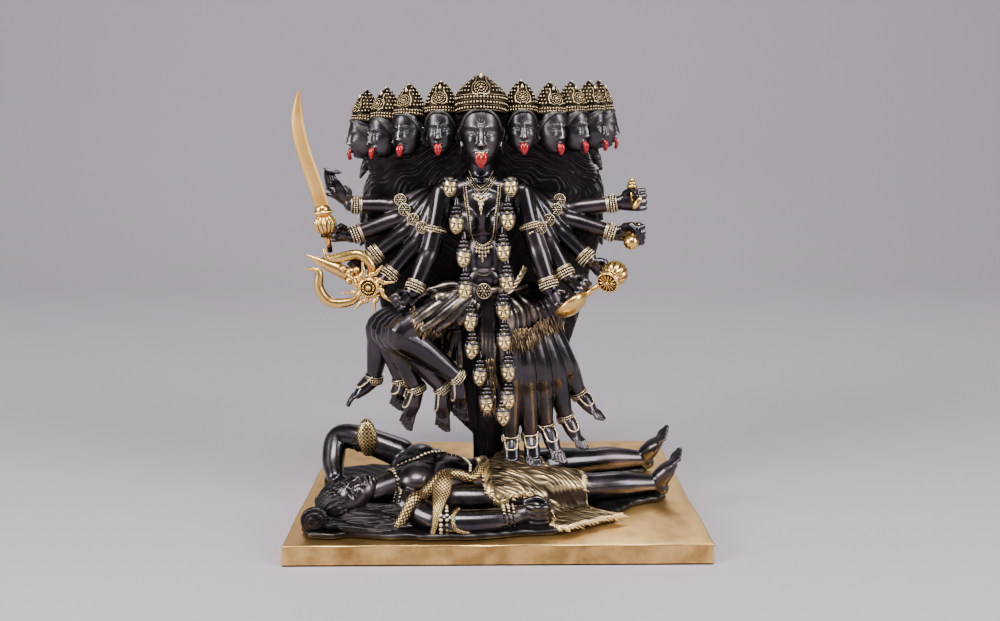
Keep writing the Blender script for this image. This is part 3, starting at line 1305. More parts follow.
fur = Wax()
for layer in range(4):
    up = 4.5 * layer
    fringe(fur, ((8, -46, 226 + up), (25, -42, 229 + up), (41, -33, 228 + up), (54, -20, 236 + up),
                 (80, 6, 242 + up)), (0.16, -0.14, -1), 16, 64, 2, 1.0)
    down = Vector((0.35, 0, 0.25)) * up
    fringe(fur, [on_thigh(p.x + down.x, p.z + down.z, 1.0) for p in HEM[6::3]], (-0.55, -0.25, -1), 10, 70,
           1, 0.85)
for layer in range(7):
    fringe(fur, ((-18, -36, 202 - 9 * layer), (-10, -38, 204 - 9 * layer), (-2, -36, 202 - 9 * layer)),
           (0.0, -0.1, -1), 17, 18, 3, 1.3)
finish_piece(as_is("kali_fur", fur), tuft_brass, reach=3, span=0.5)

# %% [markdown]
# ## Garland of heads
# A long garland of small cut heads hangs from both shoulders and meets below the knees. Each is a gold
# face with two dark coils of hair above it. They hang free of the body by a finger's width.

# %% Garland
GARLAND = ((-55, 409), (-47, 368), (-39, 329), (-38, 291), (-32, 254), (-30, 220), (-21, 187), (-13, 153),
           (16, 409), (12, 372), (7, 336), (11, 300), (7, 267), (8, 230), (13, 192), (13, 158), (7, 137))


def garland_front(z):
    return -46 + 16 * max(0.0, (z - 385) / 22) - 4 * max(0.0, min(1.0, (310 - z) / 40))


gold_heads, coils = Wax(), Wax()
for number, (x, z) in enumerate(GARLAND):
    centre = Vector((x, garland_front(z), z - 1.0))
    place = Matrix.Translation(centre) @ Matrix.Rotation(radians(7 if x < -15 else -5), 4, "Y")
    place = place @ Matrix.Diagonal((1.06, 1.02, 0.99, 1))
    put_face(gold_heads, SMALL_FACE, place @ Matrix.Diagonal((1.03, 0.92, 1, 1)), 7.4)
    for side in (1, -1):
        ball(gold_heads, place @ Vector((side * 3.0, -6.1, 0.2)), (1.6, 1.0, 0.9), sides=10)
        sweep(gold_heads,
              [place @ Vector(p) for p in ((side * 1.0, -7.1, 2.6), (side * 3.2, -6.8, 3.5),
                                           (side * 5.4, -5.2, 2.6))], (0.6, 0.85, 0.5), sides=8)
        sweep(gold_heads,
              [place @ Vector(p) for p in ((0, -7.9, -4.9), (side * 2.0, -7.3, -5.3),
                                           (side * 3.6, -6.1, -5.0))], (0.8, 0.9, 0.5), sides=8)
        ball(coils, place @ Vector((side * 7.0, 1.4, 1.5)), (2.2, 4.6, 7.4), sides=14)
    ball(coils, place @ Vector((0, 0.6, 7.6)), (8.9, 8.0, 4.6), sides=22)
    for k in range(11):
        a = radians(-75 + 15 * k)
        wires(coils,
              [[place @ Vector((8.9 * sin(a) * f, -8.2 * cos(a) * f + 0.6,
                                7.6 + 4.4 * math.sqrt(1 - f * f))) for f in (0.99, 0.85, 0.6, 0.3)]], 0.55)
    top_pair = z > 400
    for k in range(0 if top_pair else 2):
        wide = (8.0, 6.2)[k]
        middle = centre + Vector((0, 1.5, 14.5 + 4.2 * k))
        wires(coils, [circle(middle, Vector((0, 0, 1)), wide - 2.2)], 2.3, closed=True)
        ball(coils, middle, (wide - 2.0, wide - 2.0, 2.2), sides=14)
    if not top_pair:
        limb(coils, (centre + Vector((0, 3.5, 22)), centre + Vector((0, 5.0, 28))), (3.4, 2.6), 4, 10)
finish_piece(as_is("kali_garland_faces", gold_heads, triangles=54000), gold_face, reach=7, span=0.75)
finish_piece(as_is("kali_garland_hair", coils), skin_black, reach=5, span=0.5)

# %% [markdown]
# ## Jewels
# Everything worn is laid on the skin that it touches. A ring is a circle round a limb, a necklace is a
# curve that falls on the chest, and beads follow it. The same few forms serve both figures.

# %% Worn things
def band(wax, centre, along, radius, width, rows=2, rim=0.9, bead=None, sleeve=None):
    """A band round a limb: two rims, with bead rows between them. Its sleeve may be in another heap."""
    centre, along = Vector(centre), Vector(along).normalized()
    half = width / 2
    turned(sleeve or wax, centre, along,
           [(-half, radius - 2), (-half, radius), (half, radius), (half, radius - 2)], sides=32)
    for end in (-half, half):
        wires(wax, [circle(centre + along * end, along, radius + 0.2, 28)], rim, closed=True)
    for row in range(rows):
        at = centre + along * (width * ((row + 1) / (rows + 1) - 0.5))
        string_beads(wax, [circle(at, along, radius + 0.5, 40)], bead or 0.36 * width / rows,
                     2.1 * (bead or 0.36 * width / rows), sides=6, closed=True)


def rosette(wax, centre, facing, radius, disc=None):
    """A flower of beads round a boss. The disc under it may belong to another heap."""
    centre, facing = Vector(centre), Vector(facing).normalized()
    turned(disc or wax, centre, facing,
           [(-2.5, radius * 0.92), (0.2, radius), (0.9, 0.86 * radius), (1.2, 0.4 * radius)], sides=28)
    wires(wax, [circle(centre + facing * 0.9, facing, 0.97 * radius)], 0.13 * radius, closed=True)
    for share, size, count in ((0.70, 0.13, 12), (0.42, 0.17, 6)):
        for point in circle(centre + facing * 1.3, facing, share * radius, count):
            ball(wax, point, (size * radius,) * 3, sides=8)
    ball(wax, centre + facing * 1.9, (0.22 * radius,) * 3, sides=12)


def fallen(ground, points, steps=6, lift=0.3):
    """A front-view curve of (x, z) laid on a skin from the front."""
    laid = []
    for p in smooth_path([(x, 0, z) for x, z in points], steps):
        hit = ground.ray_cast(Vector((p.x, -200, p.z)), Vector((0, 1, 0)))[0]
        if hit:
            laid.append(Vector((p.x, hit.y - lift, p.z)))
    return laid


def dark_ground(name, wax):
    """Plain metal under beads. Nothing rubs it, so all of it stays black."""
    piece = as_is(name, wax)
    store_relief(piece.data, np.zeros(len(piece.data.vertices)))
    return finish_piece(piece, ornament, reach=0)


# %% Bracelets and armlets
bangles, discs = Wax(), Wax()
for side, sets in ((1, LEFT_ARMS), (-1, RIGHT_ARMS)):
    for number, (shoulder, elbow, wrist, middle) in enumerate(sets):
        elbow, wrist, middle = Vector(elbow), Vector(wrist), Vector(middle)
        forearm = (wrist - elbow).normalized()
        band(bangles, wrist - forearm * 6.0, forearm, 10.2, 9.4, 2, 1.0, 1.3, discs)
        wires(bangles, [circle(wrist - forearm * 12.8, forearm, 10.6, 28)], 0.9, closed=True)

ARM_TREES = {1: tree_of(left_arms.data), -1: tree_of(right_arms.data)}
ARMLETS = {1: ((-116, 392), (-110, 381), (-99, 370.5), (-88, 362), (-77, 357)),
           -1: ((75, 392), (70, 381), (61, 370), (50, 361.5), (38, 356))}
for side, sets in ((1, LEFT_ARMS), (-1, RIGHT_ARMS)):
    laid = []
    for x, z in ARMLETS[side]:
        hit, normal = ARM_TREES[side].ray_cast(Vector((x, -200, z)), Vector((0, 1, 0)))[:2]
        if hit is None:
            hit, normal = ARM_TREES[side].find_nearest(Vector((x, -30, z)))[:2]
        facing = (normal * 0.4 + Vector((0, -1.5, 0))).normalized()
        laid.append(hit + facing * 1.5)
        if len(laid) < 5:
            rosette(bangles, hit + facing * 3.0, facing, 6.9, discs)
    string_beads(bangles, [smooth_path(laid, 8)], 1.7, 3.4, sides=8)
    shoulder, elbow = Vector(sets[0][0]), Vector(sets[0][1])
    band(bangles, shoulder.lerp(elbow, 0.66), (elbow - shoulder).normalized(), 12.6, 5.4, 1, 0.9, 1.5, discs)
disc_piece = dark_ground("kali_rosette_discs", discs)
bangles_piece = as_is("kali_bracelets", bangles)
mark_both(bangles_piece.data, [*ARM_TREES.values(), tree_of(disc_piece.data)], 0.1, 1.35, 3, 0.3)
finish_piece(bangles_piece, ornament, reach=0)

# %% [markdown]
# ## Anklets
# Each ankle has a wide band, and a fine chain leaves it, loops over the instep and comes back.

# %% Anklets
anklets, sleeves = Wax(), Wax()
both_legs = [arrays(piece.data)[0] / MM for piece in (raised, standing)]
LEG_TREE = skin_tree(np.vstack(both_legs), [tuple(f.vertices) for f in raised.data.polygons]
                     + [tuple(v + len(both_legs[0]) for v in f.vertices) for f in standing.data.polygons])
for sets in (BENT_LEGS, STANDING_LEGS):
    for hip, knee, ankle, toe in sets:
        knee, ankle, toe = Vector(knee), Vector(ankle), Vector(toe)
        shin, sole = (ankle - knee).normalized(), (toe - ankle).normalized()
        centre = ankle - shin * 1.0
        band(anklets, centre, shin, 10.6, 8.4, 2, 1.0, 1.3, sleeves)
        across = shin.cross(sole)
        across = across.normalized() if across.length > 0.1 else Vector((1, 0, 0))
        top = (shin * -1 - sole * (shin * -1).dot(sole))
        top = top.normalized() if top.length > 0.1 else Vector((0, -1, 0))
        loop = []
        for k in range(25):
            a = pi * k / 24
            reach = 1 + (toe - ankle).length * 0.50 * sin(a) ** 0.7
            spot = ankle + sole * reach + across * 10.5 * math.copysign(abs(cos(a)) ** 0.6, cos(a)) + top * 9
            near, normal = LEG_TREE.find_nearest(spot)[:2]
            loop.append(near + normal * 0.5)
        wires(anklets, [loop], 1.25)
        string_beads(anklets, [loop], 1.5, 3.2, sides=6)
sleeve_piece = dark_ground("kali_anklet_sleeves", sleeves)
anklets_piece = as_is("kali_anklets", anklets)
mark_both(anklets_piece.data, [LEG_TREE, tree_of(sleeve_piece.data)], 0.1, 1.5, 3, 0.3)
finish_piece(anklets_piece, ornament, reach=0)

# %% [markdown]
# ## Necklaces and belt
# A beaded collar ends in a pointed pendant between the breasts, and a long chain frames them and ends
# in a second pendant. The belt carries a rosette, and a braided strap runs up to the right hip.

# %% Necklaces
chest = tree_of(trunk.data)
necklaces = Wax()


def hanging(top_left, low, top_right, sag):
    """A V-shaped fall from one shoulder to the other."""
    (x0, z0), (xm, zm), (x1, z1) = top_left, low, top_right
    left = [(x0 + (xm - x0) * t, z0 + (zm - z0) * (t + sag * sin(pi * t))) for t in (0, 0.3, 0.6, 0.85)]
    right = [(x1 + (xm - x1) * t, z1 + (zm - z1) * (t + sag * sin(pi * t))) for t in (0.85, 0.6, 0.3, 0)]
    return left + [(xm, zm)] + right


for row, (half, top, low) in enumerate(((14.5, 428, 407), (17.0, 427, 403.5), (19.5, 426, 400),
                                        (22.0, 425, 396.5))):
    path = fallen(chest, hanging((-19 - half, top), (-19, low), (-19 + half, top), 0.14), 6, 0.4)
    if row % 2 == 0:
        string_beads(necklaces, [path], 1.15, 2.5, sides=8)
    else:
        wires(necklaces, [path], 0.75)
        string_beads(necklaces, [path], 0.85, 3.2, sides=6)
for row, z, half in ((0, 396, 9), (1, 391.5, 6.5), (2, 387, 4)):
    for step in range(-2 + row // 2, 3 - row // 2):
        x = -19 + step * half / 2
        spot = fallen(chest, ((x, z + abs(step) * 1.6), (x + 0.1, z + abs(step) * 1.6)), 1, 0.9)
        if spot:
            ball(necklaces, spot[0], (1.7, 1.5, 2.4), Matrix.Rotation(radians(14 * step), 4, "Y"), 10)
for z, size in ((391, 2.4), (383, 3.0), (377.5, 1.6)):
    spot = fallen(chest, ((-19, z), (-18.9, z)), 1, 1.0)
    if spot:
        ball(necklaces, spot[0], (size * 0.8, 1.6, size * 1.25), sides=12)
long_path = ((-38, 412), (-35, 392), (-32, 370), (-31, 356), (-27, 345), (-17.5, 340), (-8, 345), (-4, 356),
             (-3, 370), (0, 392), (2, 412))
path = fallen(chest, long_path, 8, 0.5)
string_beads(necklaces, [path], 1.25, 2.7, sides=8)
inner = fallen(chest, [(x + (1.0 if x > -17.5 else -1.0) * 2.6, z - 1.5) for x, z in long_path], 8, 0.3)
wires(necklaces, [inner], 0.8)
for row, z, count in ((0, 336, 7), (1, 331.5, 5), (2, 327, 3), (3, 322.5, 1)):
    for k in range(count):
        x = -17.5 + (k - (count - 1) / 2) * 3.5
        lift = 0.22 * (k - (count - 1) / 2) ** 2
        spot = fallen(chest, ((x, z + lift), (x + 0.1, z + lift)), 1, 0.9)
        if spot:
            ball(necklaces, spot[0], (1.6, 1.5, 2.1 if row < 3 else 3.4), sides=10)

# %% Belt
belt_disc = Wax()
rosette(necklaces, (-16, -37, 287), (0.05, -1, 0.1), 8.8, belt_disc)
belt_disc_piece = dark_ground("kali_belt_disc", belt_disc)
for k in range(3):
    strap = [(-44, -22 + 0.0, 286 + 2.6 * k - 3), (-30, -30, 286.5 + 2.6 * k - 3),
             (-16, -33.5, 287 + 2.6 * k - 3), (2, -31, 287 + 2.6 * k - 3), (16, -25, 288.5 + 2.6 * k - 3)]
    path = smooth_path(strap, 6)
    (string_beads if k == 1 else wires)(necklaces, [path], 1.15)
for strand in range(3):
    path = []
    for k in range(41):
        t = k / 40
        middle = Vector((12, -30, 283)).lerp(Vector((34, -12, 312)), t) + Vector((2, -2, 0)) * sin(pi * t)
        twist = 11 * t + 2 * pi * strand / 3
        path.append(middle + Vector((0.8, 0, -0.6)) * 2.3 * sin(twist)
                    + Vector((0, -1, 0)) * 1.2 * cos(twist))
    wires(necklaces, [path], 1.35)
wires(necklaces,
      [fallen(chest, ((-27, 309), (-22, 305.5), (-16.5, 304.5), (-11, 305.5), (-6, 309)), 6, 0.0)], 0.9)
necklace_piece = as_is("kali_necklaces", necklaces)
mark_height(necklace_piece.data, [chest, tree_of(belt_disc_piece.data)], 0.1, 1.5)
finish_piece(necklace_piece, ornament, reach=0)

# %% [markdown]
# ## The lying figure
# The god lies on his back, head to the left and feet to the right, and looks up. One arm is bent behind
# his head, the other lies along his side and ends in a fist. The solid parts are balls and tapering
# limbs melted to one skin, as in the standing figure.

# %% Lying body
shiva = Wax()
tilt = Matrix.Rotation(radians(14), 4, "X")
ball(shiva, (-92, -46, 56), (46, 54, 26), tilt, 32)
ball(shiva, (-40, -44, 52), (46, 41, 23), sides=32)
ball(shiva, (-66, -46, 55), (42, 46, 24), sides=32)
ball(shiva, (12, -46, 50), (42, 49, 25), sides=32)
limb(shiva, ((-96, -56, 60), (-124, -74, 58), (-146, -88, 56)), (22, 18, 15))
for y in (-74, -26):
    ball(shiva, (-97, y, 68 + 0.12 * (y + 74)), (23, 22, 15), tilt, 24)
limb(shiva, ((-106, -102, 46), (-62, -134, 41), (-8, -130, 39), (22, -121, 40)), (18, 14.5, 13.5, 11))
limb(shiva, ((-124, 4, 68), (-176, 14, 84), (-206, 18, 84), (-210, -2, 62), (-204, -24, 48)),
     (19, 16.5, 15.5, 14.5, 11))
limb(shiva, ((14, -66, 48), (66, -68, 52), (112, -60, 49), (150, -50, 47), (198, -36, 42)),
     (27, 22, 16.5, 16, 10.5))
limb(shiva, ((14, -16, 48), (66, 4, 52), (118, 22, 49), (152, 34, 47), (198, 46, 42)),
     (27, 22, 16.5, 16, 10.5))
for heel, toe in (((203, -38, 38), (224, -40, 86)), ((201, 46, 38), (222, 30, 88))):
    heel = Vector(heel)
    ball(shiva, heel, (11.5, 11, 11), sides=18)
    foot(shiva, heel + Vector((-4, 0, 6)), toe, 11.5, (1, 0, -0.25))
ball(shiva, (-40, -88, 45), (54, 18, 19), sides=28)
ball(shiva, (20, -84, 46), (44, 20, 20), sides=28)
limb(shiva, ((14, -121, 41), (30, -119, 42), (42, -116, 43)), (11, 10.5, 12))
ball(shiva, (44, -116, 43), (13, 11, 14), sides=24)
for finger in range(4):
    z = 53.5 - 6.4 * finger
    limb(shiva, ((34, -124, z), (44, -129 + 0.4 * finger, z + 0.4), (56, -125, z), (58, -115, z - 0.5)),
         (3.2, 3.7, 3.6, 3.1), 5, 12)
limb(shiva, ((32, -114, 55), (44, -116, 60), (55, -119, 57)), (4.2, 4.0, 3.4), 5, 12)
hand(shiva, (-204, -24, 48), (-190, -42, 44), (0.2, 0, -1), 0.6, 22, 1)


def dimple(co, normals):
    """The navel and the line down the middle of the chest."""
    x, y = co[:, 0], co[:, 1]
    hole = 3.0 * np.exp(-((x + 44) / 3.5) ** 2 - ((y + 46) / 3.5) ** 2)
    line = 1.6 * np.exp(-((y + 50) / 4.0) ** 2) * np.clip((-60 - x) / 20, 0, 1) * (x > -125)
    fold = 1.4 * np.exp(-((x + 74 + 0.004 * (y + 46) ** 2) / 3.0) ** 2)
    return co - normals * ((hole + line + fold) * (co[:, 2] > 60))[:, None]


shiva_body = melt("shiva_body", shiva, 1.25, 2, 66000, dimple)
shiva_tree = tree_of(shiva_body.data)
finish_piece(shiva_body, skin_black, "shiva")


def lie(x, y, lift=0.0):
    """A place on top of the lying body."""
    hit = shiva_tree.ray_cast(Vector((x, y, 200)), Vector((0, 0, -1)))[0]
    return Vector((x, y, max(hit.z if hit else 0.0, TOP + 8.5) + lift))


def lain(points, steps=6, lift=0.5):
    return [lie(p.x, p.y, lift) for p in smooth_path([(x, y, 0) for x, y in points], steps)]


# %% Lying head
chin_to_crown = Vector((-0.83, -0.50, -0.20)).normalized()
looks = Vector((0.06, -0.42, 0.90))
looks = (looks - chin_to_crown * looks.dot(chin_to_crown)).normalized()
SHIVA_W = 21.5
shiva_head = Matrix(((*(looks.cross(chin_to_crown) * -1).to_tuple(), 0), (*(looks * -1).to_tuple(), 0),
                     (*chin_to_crown.to_tuple(), 0), (0, 0, 0, 1))).transposed()
shiva_head = Matrix.Translation((-170, -98, 54)) @ shiva_head
lying_face = Wax()
put_face(lying_face, FINE_FACE, shiva_head, SHIVA_W)
features(lying_face, shiva_head, SHIVA_W)
finish_piece(as_is("shiva_face", lying_face, triangles=20000), skin_black, "shiva", 4, 0.6)

# %% [markdown]
# ## Hair of the lying figure
# The hair is drawn back in ridges to a coiled knot, with a smaller knot beside it, and long locks lie
# along the slab from the head to the shoulder.

# %% Bound hair
bound = Wax()
for k in range(19):
    a = radians(-117 + 13 * k)
    x, y = sin(a), -cos(a)
    path = [(1.07 * x, 0.04 + 1.10 * y, 0.74), (1.00 * x, 0.06 + 1.04 * y, 1.14),
            (0.66 * x, 0.16 + 0.74 * y, 1.62), (0.22 * x, 0.26 + 0.24 * y, 1.96)]
    limb(bound, [shiva_head @ (Vector(p) * SHIVA_W) for p in path],
         [v * SHIVA_W for v in (0.08, 0.14, 0.17, 0.14)], 6, 12)
ball(bound, shiva_head @ Vector((0, 0.45 * SHIVA_W, 0.6 * SHIVA_W)),
     (1.04 * SHIVA_W, 0.95 * SHIVA_W, 1.3 * SHIVA_W), shiva_head.to_3x3().to_4x4(), 28)
for centre, size, turns in (((-205, -133, 44), 15.0, 2.6), ((-203, -109, 56), 8.0, 1.8)):
    ball(bound, centre, (0.78 * size, 0.6 * size, 0.78 * size), sides=20)
    coil = []
    for k in range(40):
        a = turns * 2 * pi * k / 39
        out = size * (0.2 + 0.78 * k / 39)
        coil.append(Vector(centre) + Vector((cos(a) * out, -0.55 * size * (1 - 0.6 * k / 39), sin(a) * out)))
    sweep(bound, coil, [0.20 * size] * 40, sides=10)
for k in range(10):
    s = k / 9
    path = []
    for step in range(7):
        t = step / 6
        x = -198 + 100 * t + 4 * s
        y = -136 + 26 * s - 8 * sin(pi * t) * (1 - s) + 2.6 * sin(9 * t + 1.9 * k)
        path.append((x, max(y, -143), 37 + 12 * s - 4 * t + 1.5 * sin(7 * t + k)))
    limb(bound, path, (4, 4.6, 4.8, 4.4, 4.0, 3.4, 1.6), 5, 10)


def strands(co, normals):
    wave = (np.sin(co[:, 1] * 1.9 + 2.0 * np.sin(co[:, 0] / 9.0))
            + 0.6 * np.sin(co[:, 2] * 2.2 + co[:, 0] / 7.0))
    return co + normals * (0.30 * wave)[:, None]


finish_piece(melt("shiva_hair", bound, 1.0, 1, 44000, strands), hair_black, "shiva", 5, 0.4)

# %% Ground cloth
CLOTH_EDGE = ((-224, -128), (-212, -146), (-186, -149), (-168, -144), (-146, -147), (-120, -151),
              (-96, -150), (-80, -153), (-52, -151), (-36, -153), (0, -148), (30, -143), (62, -141),
              (100, -124), (137, -108), (140, -92), (168, -66), (196, -56), (210, -46), (206, -16),
              (120, -20), (118, 4), (196, 34), (206, 54), (196, 62), (120, 44), (60, 44), (20, 36),
              (-30, 46), (-60, 44), (-90, 52), (-120, 50), (-170, 56), (-216, 44), (-226, 10), (-214, -40),
              (-204, -80), (-222, -104))


def wrinkle(co, normals):
    x, y = co[:, 0], co[:, 1]
    fold = (np.sin(x / 7.0 + 2.0 * np.sin(y / 17.0)) * 0.55
            + 0.45 * np.sin((x + 2.2 * y) / 5.0 + 1.5 * np.sin(x / 13.0)))
    return co + normals * (0.8 * fold * np.clip(normals[:, 2] * 1.5 + 0.3, 0, 1))[:, None]


ground = Wax()
slab_of(ground, CLOTH_EDGE[::-1], TOP + 0.5, TOP + 8.0, lambda x, y, z: (x, y, z))
finish_piece(melt("shiva_ground_cloth", ground, 1.8, 6, 28000, wrinkle), hair_black, "shiva",
             6, 0.8)

# %% [markdown]
# ## The hide
# A beast's hide is wrapped round his hips and spreads over the near thigh and the slab. It is a sheet
# that lies on what is under it, with combed fur, a rolled upper edge and tufts along its border.

# %% Hide
HIDE = ((-22, 26), (-6, 22), (6, -6), (44, -14), (84, -26), (96, -50), (104, -70), (108, -86), (122, -98),
        (146, -106), (134, -112), (122, -113), (112, -121), (96, -126), (84, -135), (70, -138), (62, -132),
        (66, -122), (62, -112), (40, -100), (8, -104), (-12, -100), (-18, -60), (-26, -10))


def inside(x, y, outline):
    """Whether each place lies inside an outline."""
    within = np.zeros(x.shape, dtype=bool)
    for (x0, y0), (x1, y1) in zip(outline, outline[1:] + outline[:1]):
        if y0 != y1:
            cut = ((y0 > y) != (y1 > y)) & (x < (x1 - x0) * (y - y0) / (y1 - y0) + x0)
            within ^= cut
    return within


def sheet_on_body(wax, outline, step, thick, relief):
    """A closed sheet over the lying body. Relief gives its height above the body at each place."""
    xs = np.arange(min(p[0] for p in outline), max(p[0] for p in outline), step)
    ys = np.arange(min(p[1] for p in outline), max(p[1] for p in outline), step)
    gx, gy = np.meshgrid(xs, ys)
    heights = np.array([[lie(x, y).z for x in xs] for y in ys])
    for _ in range(26):
        wide = np.pad(heights, 1, mode="edge")
        near = (wide[:-2, 1:-1] + wide[2:, 1:-1] + wide[1:-1, :-2] + wide[1:-1, 2:]) / 4
        heights = np.maximum(heights, 0.15 * heights + 0.85 * near)
    top = heights + thick + relief(gx, gy)
    cell = inside(gx[:-1, :-1] + step / 2, gy[:-1, :-1] + step / 2, outline)
    wide = len(xs)
    n = gx.size
    points = np.concatenate((np.stack((gx, gy, top), -1).reshape(-1, 3),
                             np.stack((gx, gy, heights - 1.0), -1).reshape(-1, 3)))
    faces = []
    rows, cols = np.nonzero(cell)
    for r, c in zip(rows.tolist(), cols.tolist()):
        a = r * wide + c
        faces.append([a, a + 1, a + 1 + wide, a + wide])
        faces.append([n + a, n + a + wide, n + a + 1 + wide, n + a + 1])
        if r == 0 or not cell[r - 1, c]:
            faces.append([a + 1, a, n + a, n + a + 1])
        if r == cell.shape[0] - 1 or not cell[r + 1, c]:
            faces.append([a + wide, a + wide + 1, n + a + wide + 1, n + a + wide])
        if c == 0 or not cell[r, c - 1]:
            faces.append([a, a + wide, n + a + wide, n + a])
        if c == cell.shape[1] - 1 or not cell[r, c + 1]:
            faces.append([a + 1 + wide, a + 1, n + a + 1, n + a + 1 + wide])
    used = sorted({i for face in faces for i in face})
    place = {old: new for new, old in enumerate(used)}
    wax.add(points[used], [[place[i] for i in face] for face in faces])


def fur_relief(x, y):
    flow = y + 0.42 * x + 2.6 * np.sin(x / 19.0 + 1.2 * np.sin(y / 14.0)) + 1.3 * np.sin(x / 6.5 + y / 8.0)
    along = x - 0.42 * y
    strand = np.abs(np.sin(pi * (flow + 0.9 * np.sin(along / 6.0)) / 3.5))
    lock = np.sin(flow / 2.3 + 2.0 * np.sin(along / 11.0))
    tips = 0.5 + 0.5 * np.sin(along / 4.6 + 3.0 * np.sin(flow / 3.3))
    return 1.0 * strand + 0.5 * lock + 0.8 * tips


hide = Wax()
sheet_on_body(hide, HIDE, 0.95, 1.6, fur_relief)
hide_sheet = as_is("shiva_hide", hide)
finish_piece(hide_sheet, fur_brass, "shiva", 6, 0.45)

# %% Hide edge
border = Wax()
for k in range(230):
    place = (len(HIDE) - 1) * k / 230
    low = int(place)
    (x0, y0), (x1, y1) = HIDE[low], HIDE[(low + 1) % len(HIDE)]
    x, y = x0 + (x1 - x0) * (place - low), y0 + (y1 - y0) * (place - low)
    way = Vector((x - 20 + chance.uniform(-30, 30), 0.5 * (y + 70) + chance.uniform(-25, 25), 0)).normalized()
    if x < 0:
        way = Vector((0.9, chance.uniform(-0.6, -0.2), 0))
    root = lie(x - 4 * way.x, y - 4 * way.y, 1.6)
    tuft(border, root, way + Vector((0, 0, -0.15)), chance.uniform(4, 12), chance.uniform(0.9, 1.9),
         (chance.uniform(-0.3, 0.3), 0, -0.3))
roll = lain(((-24, 24), (-20, -6), (-15, -40), (-12, -70), (-8, -98)), 6, 2.5)
for strand in range(3):
    twisted = []
    for k, p in enumerate(roll):
        a = 0.75 * k + 2 * pi * strand / 3
        twisted.append(p + Vector((2.6 * cos(a), 0, 2.2 * sin(a))))
    sweep(border, twisted, [2.6] * len(twisted), sides=10)
finish_piece(as_is("shiva_hide_edge", border), fur_brass, "shiva", 3, 0.4)

# %% [markdown]
# ## Snakes
# Three snakes lie on him: one from the shoulder across the chest, one that hangs over his side with its
# hood spread, and a cobra that rises on the far arm. A snake is a swept body with rows of raised scales.

# %% Snakes
snakes, scale_marks = Wax(), []


def snake(joints, radii, depths=None, face=(0, -0.6, 0.8), scale=2.7, sides=44):
    """A swept body whose skin is a net of raised scales. The marks keep bare metal on the scales."""
    curve, pace = smooth_path(joints, 10), [0.0]
    for a, b in zip(curve, curve[1:]):
        pace.append(pace[-1] + (b - a).length)
    steps = int(pace[-1] / 0.45)
    where = np.linspace(0, pace[-1], steps)
    line = np.stack([np.interp(where, pace, [p[axis] for p in curve]) for axis in range(3)], 1)
    wide = np.interp(where, pace, smooth_values(radii, 10))
    deep = np.interp(where, pace, smooth_values(depths or radii, 10))
    along = np.gradient(line, axis=0)
    along /= np.linalg.norm(along, axis=1)[:, None]
    across = np.cross(along, face)
    across /= np.linalg.norm(across, axis=1)[:, None]
    out = np.cross(across, along)
    a = 2 * pi * np.arange(sides) / sides
    u, v = np.meshgrid(where / (1.7 * scale),
                       np.arange(sides) / sides * max(6, round(2 * pi * wide.max() / scale)) / 2,
                       indexing="ij")
    edge = np.maximum(np.abs((u + v) % 1 - 0.5), np.abs((u - v) % 1 - 0.5)) * 2
    bump = np.clip((1 - edge) * 2.6 - 0.35, 0, 1)
    ring = 0.55 * bump - 0.4
    points = line[:, None] + (across[:, None] * (np.cos(a) * (wide[:, None] + ring))[..., None]
                              + out[:, None] * (np.sin(a) * (deep[:, None] + ring))[..., None])
    n = sides
    faces = [[r * n + c, (r + 1) * n + c, (r + 1) * n + (c + 1) % n, r * n + (c + 1) % n]
             for r in range(steps - 1) for c in range(n)]
    faces += [list(range(n)), [(steps - 1) * n + c for c in range(n)][::-1]]
    snakes.add(points.reshape(-1, 3), faces)
    scale_marks.append(bump.ravel())


def over(points, lift, steps=1):
    return [tuple(lie(x, y, lift)) for x, y in points]


snake(over(((-136, -126), (-113, -134), (-97, -122), (-86, -102), (-66, -82), (-46, -76), (-30, -76),
            (-18, -50), (-16, -24)), 3.0), (4.5, 6.0, 6.6, 6.8, 6.8, 6.2, 5.4, 4.8, 3.6))
snake(((-58, -88, 82), (-62, -104, 78), (-64, -118, 70), (-67, -138, 60), (-70, -149, 44), (-73, -150, 34)),
      (3.5, 9.0, 10.0, 6.0, 3.2, 2.6), (3.0, 3.4, 3.4, 3.2, 2.8, 2.4), face=(0, -0.75, 0.65))
snake(((-164, -4, 70), (-164, -8, 84), (-165, -8, 97), (-166, -4, 109), (-166, 2, 114)),
      (7, 11.5, 12.5, 9, 4), (5, 5, 5, 5, 3), face=(0, -1, 0.1))
small = []
for spot in ((-44, -132, 62), (-49, -142, 54), (-50, -148, 46), (-46, -150, 39), (-38, -151, 35),
             (-31, -152, 32)):
    near, normal = shiva_tree.find_nearest(Vector(spot))[:2]
    small.append(tuple(near + normal * 1.6))
snake(small, (2.0, 2.4, 2.4, 2.2, 1.8, 1.2), scale=2.0, sides=20)
snakes_piece = as_is("shiva_snakes", snakes)
marks = snakes_piece.data.attributes.new("relief", "FLOAT", "POINT")
marks.data.foreach_set("value", np.concatenate(scale_marks))
finish_piece(snakes_piece, snake_brass, "shiva", 0)

# %% [markdown]
# ## Bead strings of the lying figure
# Large seeds are threaded round his neck, over his chest, and round both arms and the wrist.

